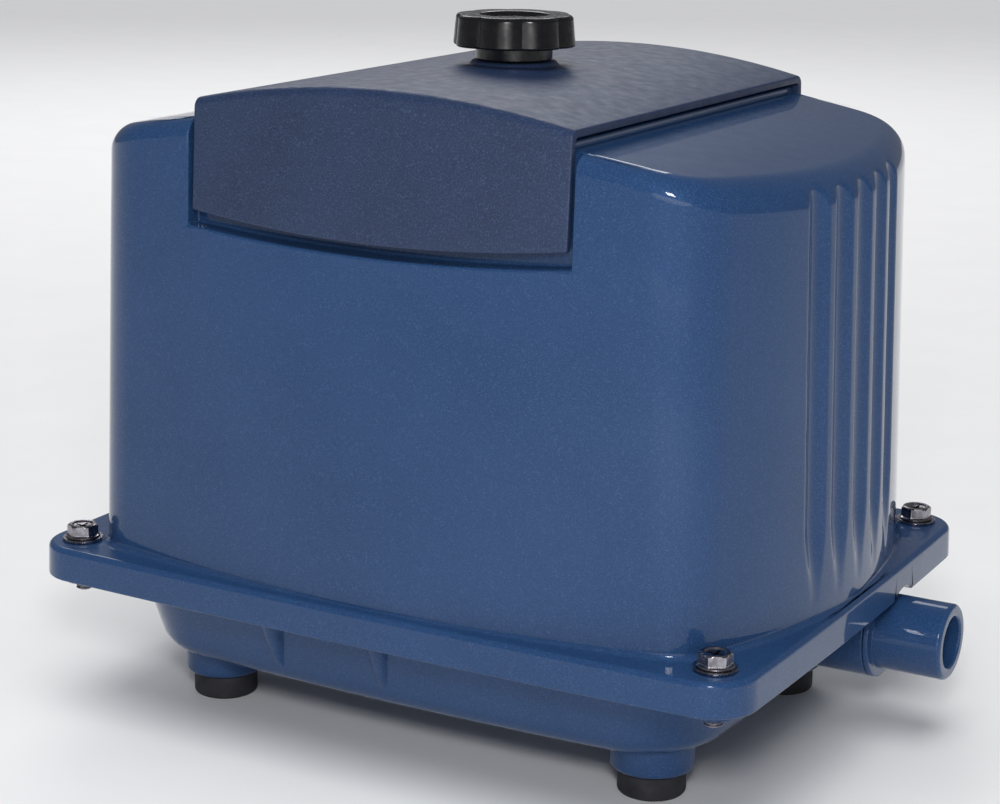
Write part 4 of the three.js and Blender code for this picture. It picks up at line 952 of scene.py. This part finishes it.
def make_floor():
    look = Look("floor_paper", srgb(236, 236, 236), 0.9)
    look.feed("Base Color", look.mix(look.noise(40, 2.0), srgb(243, 243, 243), srgb(248, 248, 248)))
    mesh = bpy.data.meshes.new("floor")
    signs = ((-1, -1), (1, -1), (1, 1), (-1, 1))
    corners = [(sx * FLOOR_REACH, sy * FLOOR_REACH, 0) for sx, sy in signs]
    mesh.from_pydata(corners, [], [(0, 1, 2, 3)])
    mesh.materials.append(look.material)
    floor = bpy.data.objects.new("floor", mesh)
    bpy.context.scene.collection.objects.link(floor)


def aimed(name, kind, azimuth, elevation, distance, power):
    """A light at an azimuth and elevation about the object, aimed at its middle."""
    turn, lift = math.radians(azimuth), math.radians(elevation)
    back = Vector((math.sin(turn) * math.cos(lift), -math.cos(turn) * math.cos(lift), math.sin(lift)))
    light = bpy.data.objects.new(name, bpy.data.lights.new(name, kind))
    light.data.energy = power
    light.location = Vector((shift_x, 0, MIDDLE_HEIGHT)) + back * distance
    light.rotation_mode = "QUATERNION"
    light.rotation_quaternion = (-back).to_track_quat("-Z", "Y")
    bpy.context.scene.collection.objects.link(light)
    return light


def soft_box(name, azimuth, elevation, distance, width, height, power):
    """A rectangular light that isn't seen in the picture itself."""
    light = aimed(name, "AREA", azimuth, elevation, distance, power)
    light.data.shape = "RECTANGLE"
    light.data.size, light.data.size_y = width, height
    light.visible_camera = False


def make_lights():
    world = bpy.data.worlds.new("studio")
    world.use_nodes = True
    background = world.node_tree.nodes["Background"]
    background.inputs["Color"].default_value = (0.92, 0.93, 1.0, 1)
    background.inputs["Strength"].default_value = 0.17
    bpy.context.scene.world = world
    ceiling = aimed("ceiling", "SUN", 10, 80, 2, 1.7)
    ceiling.data.angle = math.radians(50)
    ceiling.visible_glossy = False
    soft_box("flash", CAMERA_AZIMUTH, 24, 0.74, 0.12, 0.12, 1.9)
    soft_box("low_fill", 24, 4, 1.3, 1.2, 0.2, 1.6)
    soft_box("rear_fill", 215, 35, 1.8, 1.0, 0.7, 7)


def dress_cad_nodes(looks):
    slots = {part["node"]: part["material_slot"] for part in frame["record"]["subparts"]}
    for name, node in frame["nodes"].items():
        node.data.materials.clear()
        node.data.materials.append(looks[slots[name]])


def build():
    make_camera()
    looks = make_looks()
    dress_cad_nodes(looks)
    make_hood(looks["blue_paint"])
    make_base(looks["blue_paint"])
    make_nozzle(looks["blue_paint"])
    make_cover(looks["cover_plastic"])
    make_knob(looks["knob_plastic"])
    for name, x, y in at_corners(*FOOT_AT):
        make_foot(name, x, y, looks["foot_rubber"])
    for name, x, y in at_corners(*BOLT_AT):
        make_bolt(name, x, y, looks["plated_steel"])
    make_grommet(looks["gasket_rubber"])
    make_floor()
    make_lights()


build()
